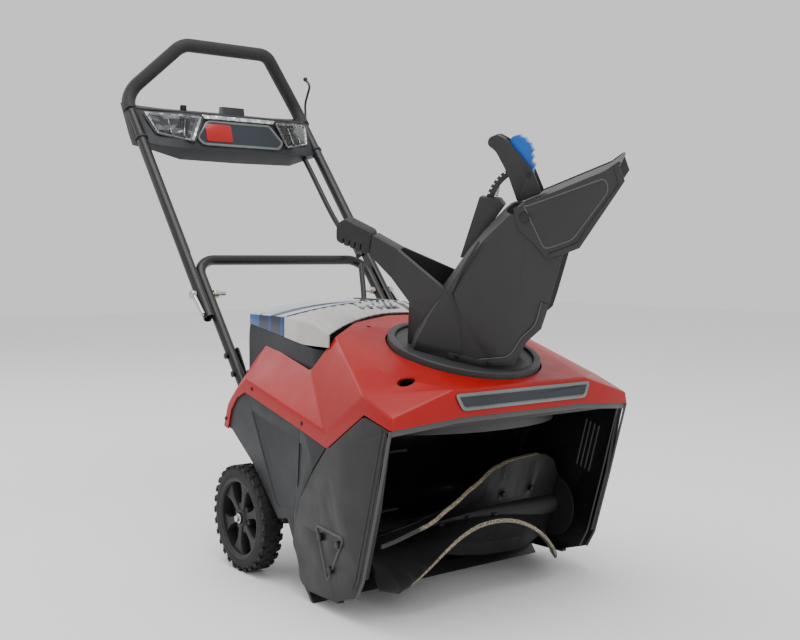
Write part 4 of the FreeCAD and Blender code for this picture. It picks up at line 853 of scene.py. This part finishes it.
def lid_part(name, y_from, y_to, columns, rows, ribs, material, replaced):
    """A crowned lid panel with short side skirts; ribs is the height of its pressed ribs."""
    points, faces = [], []
    width = columns + 5
    for r in range(rows + 1):
        for c in range(width):
            x = -BAY_HALF + 2 * BAY_HALF * min(max(c - 2, 0), columns) / columns
            front = max(lid_front_y(x), y_from)
            y = front + (y_to - front) * r / rows
            z = lid_top_z(x, y)
            if ribs and 14 < abs(x) < 206 and 0 < r < rows:
                z += ribs * max(0.0, math.sin(x * 2 * math.pi / 21.0)) ** 0.6
            if c == 0 or c == width - 1:
                z = rim_z(y)
            elif c == 1 or c == width - 2:
                z = lid_top_z(x, y) - 3.0
            points.append(at(x * (1.002 if c in (0, width - 1) else 1), y, z))
    for r in range(rows):
        for c in range(width - 1):
            a, b = r * width + c, r * width + c + 1
            faces.append((a, b, b + width, a + width))
    lid = shape(name, points, faces)
    bm = bmesh.new()
    bm.from_mesh(lid.data)
    bmesh.ops.recalc_face_normals(bm, faces=bm.faces)
    top = max(bm.faces, key=lambda f: f.calc_center_median().z)
    if top.normal.z < 0:
        bmesh.ops.reverse_faces(bm, faces=bm.faces)
    bm.to_mesh(lid.data)
    bm.free()
    add_wall(lid, 3.0)
    add_bevel(lid, 1.0, 2, 50.0)
    lid = plain_mesh(lid, 45.0)
    paint(lid, material)
    return settle(lid, "battery_lid", replaced)


def battery_lid():
    lid_part("lid_ribbed_panel", 0, LID_SPLIT_Y - 0.3, 160, 12, 2.6, "silver", ["battery_lid"])
    lid_part("lid_glazed_panel", LID_SPLIT_Y, 545.5, 60, 12, 0.0, "glaze", [])
    dressed("lid_window", "glaze", 0.5)
    seam = [at(x, LID_SPLIT_Y, lid_top_z(x, LID_SPLIT_Y) + 0.4) for x in range(-208, 209, 26)]
    bead("lid_seam", seam, 1.6, "black", "battery_lid")
    apron = [(x, lid_front_y(x) + 8) for x in range(-200, 201, 20)]
    upper = [at(x, y, lid_top_z(x, y) - 2.5) for x, y in apron]
    lower = [at(x, y, lid_top_z(x, y) - 25) for x, y in apron]
    ribbon("lid_apron", upper, lower, Vector((0, 1.5 * MM, 0)), "black", "battery_lid", 0.3)
    patch("lid_vent", -78, 26, 366, 408, 0.7, "navy")
    patch("lid_rail", 28, 62, 356, 541, 1.6, "strip")
    for k in range(7):
        louvre = [at(x, y, lid_top_z(x, y) + 1.6) for x, y in ((-74 + 14 * k, 370), (-66 + 14 * k, 387),
                                                              (-56 + 14 * k, 405))]
        bead("lid_louvre_%d" % k, louvre, 3.4, "silver", "battery_lid")


def patch(name, x0, x1, y0, y1, lift, material):
    """A thin raised area that follows the lid's crown."""
    columns, rows = 10, 6
    points = []
    for level in (0.0, lift):
        for r in range(rows + 1):
            for c in range(columns + 1):
                x, y = x0 + (x1 - x0) * c / columns, y0 + (y1 - y0) * r / rows
                points.append(at(x, y, lid_top_z(x, y) - 1 + level + (1 if level else 0)))
    width, layer = columns + 1, (columns + 1) * (rows + 1)
    faces = []
    for r in range(rows):
        for c in range(columns):
            a = r * width + c
            faces += [(a, a + width, a + width + 1, a + 1),
                      (layer + a, layer + a + 1, layer + a + width + 1, layer + a + width)]
    border = [c for c in range(width)] + [r * width + columns for r in range(1, rows + 1)]
    border += [rows * width + c for c in range(columns - 1, -1, -1)]
    border += [r * width for r in range(rows - 1, 0, -1)]
    for a, b in zip(border, border[1:] + border[:1]):
        faces.append((a, b, layer + b, layer + a))
    area = shape(name, points, faces)
    point_outward(area.data)
    area = plain_mesh(area)
    paint(area, material)
    return settle(area, "battery_lid")


# --- chute and deflector --------------------------------------------------------------------
CHUTE_EDGE = [(-12, -2), (44, -2), (92, 14), (106, 32), (114, 57), (133, 84), (136, 111), (137, 128)]


def chute_detail():
    for side, tag in ((-1, "near"), (1, "far")):
        l = side * (CHUTE_HALF + 0.2)
        lift = (on_chute(0, side * 2.2, 0) - on_chute(0, 0, 0))
        outer = [on_chute(s, l, h) for s, h in CHUTE_EDGE]
        inner = []
        for i, (s, h) in enumerate(CHUTE_EDGE):
            before, after = CHUTE_EDGE[max(i - 1, 0)], CHUTE_EDGE[min(i + 1, len(CHUTE_EDGE) - 1)]
            along = Vector((after[0] - before[0], after[1] - before[1])).normalized()
            inner.append(on_chute(s - along.y * 11, l, h + along.x * 11))
        ribbon("chute_rim_" + tag, outer, inner, lift, "chute", "chute", 0.7)
        seam = [on_chute(s, l, h) for s, h in ((-27, 112), (-4, 72), (8, 34), (12, 2))]
        bead("chute_fold_" + tag, seam, 1.5, "chute", "chute")
        # The groove bead is lighter than the chute plastic: a painted highlight line.
        bead("chute_groove_" + tag, [p + lift for p in inner[1:]], 1.1, "fold", "chute")
        gusset = [on_chute(s, side * (CHUTE_HALF - 1.5), h) for s, h in ((-26, 112), (-14, 160), (4, 206))]
        bead("chute_back_edge_" + tag, gusset, 2.4, "chute", "chute")


PANEL_GROOVE = [(66, 280), (113, 217), (154, 242), (194, 330), (184, 349), (72, 281)]
DEFLECTOR_RIM = [(120, 203), (145, 217), (168, 232), (190, 287), (214, 349), (198, 377)]


def deflector_detail():
    for side, tag in ((-1, "near"), (1, "far")):
        l = side * (CHUTE_HALF + 3.5)
        line = [on_chute(s, l, h) for s, h in PANEL_GROOVE]
        # The groove bead is lighter than the deflector plastic: a painted highlight line.
        bead("deflector_groove_" + tag, line, 1.2, "fold", "deflector", True)
        lift = on_chute(0, side * 2.0, 0) - on_chute(0, 0, 0)
        outer = [on_chute(s, l, h) for s, h in DEFLECTOR_RIM]
        middle = Vector((130, 285))
        inner = []
        for s, h in DEFLECTOR_RIM:
            inward = (middle - Vector((s, h))).normalized() * 9
            inner.append(on_chute(s + inward.x, l, h + inward.y))
        ribbon("deflector_rim_" + tag, outer, inner, lift, "chute", "deflector", 0.6)
    edge = [on_chute(s, l, h) for s, l, h in ((200, -93, 376), (200, 93, 376))]
    bead("deflector_front_bead", edge, 2.6, "chute", "deflector")


TRIGGER_CREST = [(58.5, 337), (53, 350), (51, 361), (45, 369.5), (35.5, 376), (26, 379)]


def trigger_ribs():
    for k, (s, h) in enumerate(TRIGGER_CREST):
        bead("trigger_rib_%d" % k, [on_chute(s, -12.5, h), on_chute(s, 12.5, h)], 4.2, "blue", "trigger")


def tilt_spring():
    """The steel spring that pulls the toothed sector's latch."""
    turns, steps = 9, 16
    path = []
    for k in range(turns * steps + 1):
        a = 2 * math.pi * k / steps
        path.append(on_chute(3 + 5 * math.cos(a), 8 + 5 * math.sin(a), 272 + 26 * k / (turns * steps)))
    bead("tilt_spring", path, 0.9, "steel", "chute", False, 1)


# --- handle, console and lamps --------------------------------------------------------------
LAMP_RIM = [(124, 974, 867), (96, 989, 929), (150, 991, 931), (222, 1049, 938), (204, 1011, 884)]


def lamps():
    for side, tag in ((-1, "right"), (1, "left")):
        ring = [at(side * x, y, z) for x, y, z in LAMP_RIM]
        middle = sum(ring, Vector()) / 5
        depth = Vector((0, 12 * MM, -5 * MM))
        ring = [p + (middle - p) * 0.05 for p in ring]
        deep = [p + depth * 0.9 + (middle - p) * 0.35 for p in ring]
        points = ring + deep + [sum(deep, Vector()) / 5 + depth * 0.4]
        faces = []
        for i in range(5):
            j = (i + 1) % 5
            faces += [(i, j, 5 + j, 5 + i), (5 + i, 5 + j, 10)]
        bowl = shape("lamp_bowl_" + tag, points, faces)
        bowl.data.transform(Matrix.Translation((0, -3 * MM, 1 * MM)))
        add_wall(bowl, 1.0, 1.0)
        bowl = plain_mesh(bowl, 20.0)
        point_outward(bowl.data)
        paint(bowl, "reflector")
        settle(bowl, "upper_handle")
        rim = [at(side * x, y - 2.0, z + 0.6) for x, y, z in LAMP_RIM]
        bead("lamp_rim_" + tag, rim, 1.4, "strip", "upper_handle", True, 3)
        for k, t in enumerate((0.30, 0.62)):
            low, high = ring[0].lerp(ring[4], t), ring[1].lerp(ring[3], t)
            forward = Vector((0, -6 * MM, 1 * MM))
            line = [low.lerp(high, 0.12) + forward, low.lerp(high, 0.86) + forward]
            bead("lamp_divider_%s_%d" % (tag, k), line, 1.1, "reflector", "upper_handle")
    outer = [at(-98, 993, 933.5), at(98, 993, 933.5)]
    inner = [at(-92, 990.5, 925), at(92, 990.5, 925)]
    ribbon("light_bar", outer, inner, Vector((0, -3.2 * MM, 1 * MM)), "reflector", "upper_handle", 0.6)


def console_plate():
    lean = Vector((0, 24, 86)).normalized()
    base = at(0, 971.8, 850)
    corners = [(-118, 30), (-102, 12), (102, 12), (118, 30), (84, 75), (-84, 75)]
    outline = [base + Vector((x * MM, 0, 0)) + lean * (up * MM) for x, up in corners]
    lift = Vector((0, -3.6 * MM, 1.0 * MM))
    framed_plate("console_plate", outline, lift, 6.0, ["console_badge"], "upper_handle")
    block = []
    for x, up in ((-88, 22), (-28, 22), (-24, 26), (-24, 62), (-28, 66), (-84, 66), (-92, 58), (-92, 26)):
        block.append(base + Vector((x * MM, 0, 0)) + lean * (up * MM) + lift * 0.5)
    settle(prism("console_red_block", block, lift * 0.4, "signal", 0.4), "upper_handle")
    ledge = [at(x, y, z) for x, y, z in ((-205, 1002, 857), (-148, 978, 853), (148, 978, 853),
                                         (205, 1002, 857))]
    bead("console_ledge", ledge, 2.2, "charcoal", "upper_handle")
    crest = [at(x, y, z) for x, y, z in ((-238, 1074, 948), (-200, 1042, 943), (-146, 1002, 938),
                                         (146, 1002, 938), (200, 1042, 943), (238, 1074, 948))]
    bead("console_crest", crest, 2.6, "charcoal", "upper_handle")
    for side, tag in ((-1, "right"), (1, "left")):
        cuff = on_tube(side * 236, 222)
        along = (on_tube(0, 1) - on_tube(0, 0)).normalized()
        ring = [cuff + along * (k * 6 * MM) for k in range(2)]
        bead("tube_cuff_" + tag, ring, 15.5, "charcoal", "upper_handle")


def fold_nuts():
    p = on_tube(0, -235)
    for side, tag in ((-1, "right"), (1, "left")):
        rings = ((207 - 9.4, 9.4, 8.8, "brass"), (207 - 13.4, 7.2, 4, "steel"))
        for k, (x, r, length, material) in enumerate(rings):
            ring = [Vector((side * x * MM, p.y + r * MM * math.cos(a), p.z + r * MM * math.sin(a)))
                    for a in [math.radians(60 * i) for i in range(6)]]
            nut = prism("fold_nut_%s_%d" % (tag, k), ring, Vector((side * length * MM, 0, 0)), material, 0.7)
            settle(nut, "upper_handle")


HARNESS_UPPER = [(192, 1008, 852), (193, 981, 821), (193, 934, 766), (192, 882, 708), (189, 834, 666),
                 (184, 784, 638), (178, 752, 620), (172, 732, 602)]
HARNESS_LOWER = [(168, 717, 581), (156, 694, 550), (140, 664, 510), (118, 632, 462), (100, 611, 414),
                 (93.5, 594.5, 371.6), (93.5, 577.5, 352.3)]


def harness(name, run, body, replaced):
    """A control harness as a plain round tube along the route's own smooth line."""
    curve = bpy.data.curves.new(name, "CURVE")
    curve.dimensions = "3D"
    curve.bevel_depth = 6.3 * MM
    curve.bevel_resolution = 6
    curve.resolution_u = 16
    curve.use_fill_caps = True
    spline = curve.splines.new("NURBS")
    spline.points.add(len(run) - 1)
    for target, point in zip(spline.points, run):
        target.co = (*at(*point), 1)
    spline.order_u = 3
    spline.use_endpoint_u = True
    cable = new_object(name, curve)
    curve.materials.append(MAT["black"])
    settle(cable, body, [replaced])


def harnesses():
    harness("harness_upper_cable", HARNESS_UPPER, "upper_handle", "harness_upper")
    harness("harness_lower_cable", HARNESS_LOWER[::-1], "chassis", "harness_lower")


# --- everything that keeps its CAD shape ----------------------------------------------------
KEPT = {
    "plate": {"side_plate_left": 0.5, "side_plate_right": 0.5, "cradle_frame": 0.7, "frame_bolts": 0.5,
              "housing_screws": 0.3},
    "inside": {"auger_housing": 0.5, "belt_cover": 1.2},
    "black": {"scraper_bar": 0.8, "motor_pulley": 0.4, "rotor_pulley": 0.6, "blade_bolts": 0.5,
              "wheel_bush_left": 0.3, "wheel_bush_right": 0.3, "power_button": 0.4, "chute_bolts": 0.4,
              "tilt_pins": 0.5, "trigger_pin": 0.3, "rotor_shaft": 0.5, "rotor_frame": 0.4,
              "rotor_bearings": 0.5},
    "duct": {"inlet_duct": 0.6},
    "charcoal": {"side_panel_left": 1.0, "side_panel_right": 1.0, "battery_tub": 1.2, "rear_cover": 0.8,
                 "console": 2.2},
    "cell": {"battery_packs": 0.0},
    "steel": {"lid_hinge_pins": 0.4, "wheel_axle": 0.6, "fold_bolts": 0.6, "cam_lever_left": 1.0,
              "cam_lever_right": 1.0},
    "cast": {"drive_motor": 0.8},
    "tyre": {"drive_belt": 0.5},
    "ring": {"chute_collar": 0.0, "chute_turntable": 0.8},
    "chute": {"chute_body": 1.0, "chute_quadrant": 0.8, "chute_arm": 2.2, "deflector": 1.0,
              "deflector_bracket": 1.4},
    "grip": {"chute_grip": 1.6, "loop_grip": 0.0},
    "blue": {"tilt_trigger": 1.0},
    "tube": {"lower_handle": 0.0, "upper_handle": 0.0, "control_lever": 0.0},
    "lens": {"headlamp_lenses": 0.5},
    "rotor": {"rotor_blades": 1.0},
}


def kept_nodes():
    for material, nodes in KEPT.items():
        for node, bevel in nodes.items():
            dressed(node, material, bevel)


# --- floor, light and camera ----------------------------------------------------------------
def studio():
    mesh = bpy.data.meshes.new("floor")
    size = 9.0
    corners = [(-size, -size, 0), (size, -size, 0), (size, size, 0), (-size, size, 0)]
    mesh.from_pydata(corners, [], [(0, 1, 2, 3)])
    floor = new_object("floor", mesh)
    mat, nodes, links, shader, coords = start_material("pale_floor")
    shader.inputs["Base Color"].default_value = (0.93, 0.93, 0.93, 1)
    shader.inputs["Roughness"].default_value = 0.8
    mesh.materials.append(mat)
    world = bpy.data.worlds.new("soft_white")
    world.use_nodes = True
    background = world.node_tree.nodes["Background"]
    background.inputs["Color"].default_value = (1, 1, 1, 1)
    background.inputs["Strength"].default_value = 0.9
    bpy.context.scene.world = world
    lamp("top", (-0.3, -0.6, 3.6), 75, 2.6)
    lamp("front", (-1.2, -3.4, 1.9), 20, 1.6)
    lamp("rear", (-1.5, 3.0, 2.8), 36, 2.0)


def lamp(name, place, power, size):
    light = bpy.data.lights.new(name, "AREA")
    light.energy, light.size = power, size
    obj = bpy.data.objects.new(name, light)
    bpy.context.scene.collection.objects.link(obj)
    obj.location = place
    obj.rotation_mode = "QUATERNION"
    obj.rotation_quaternion = (Vector((0, -0.1, 0.4)) - Vector(place)).to_track_quat("-Z", "Y")


def camera():
    data = bpy.data.cameras.new("camera")
    data.lens, data.sensor_width = 47.1, 36.0
    obj = bpy.data.objects.new("camera", data)
    bpy.context.scene.collection.objects.link(obj)
    obj.location = at(-1205.6, -1287.1, 597.8)
    yaw, down = math.radians(36.56), math.radians(3.40)
    ahead = Vector((math.sin(yaw) * math.cos(down), math.cos(yaw) * math.cos(down), -math.sin(down)))
    obj.rotation_mode = "QUATERNION"
    obj.rotation_quaternion = ahead.to_track_quat("-Z", "Y")
    bpy.context.scene.camera = obj


camera()
harnesses()
kept_nodes()
hood_shell()
hood_lip()
front_plate()
side_plate_detail()
housing_detail()
for side, tag in ((1, "left"), (-1, "right")):
    wheel(side, tag)
battery_lid()
chute_detail()
deflector_detail()
trigger_ribs()
tilt_spring()
lamps()
console_plate()
fold_nuts()
studio()
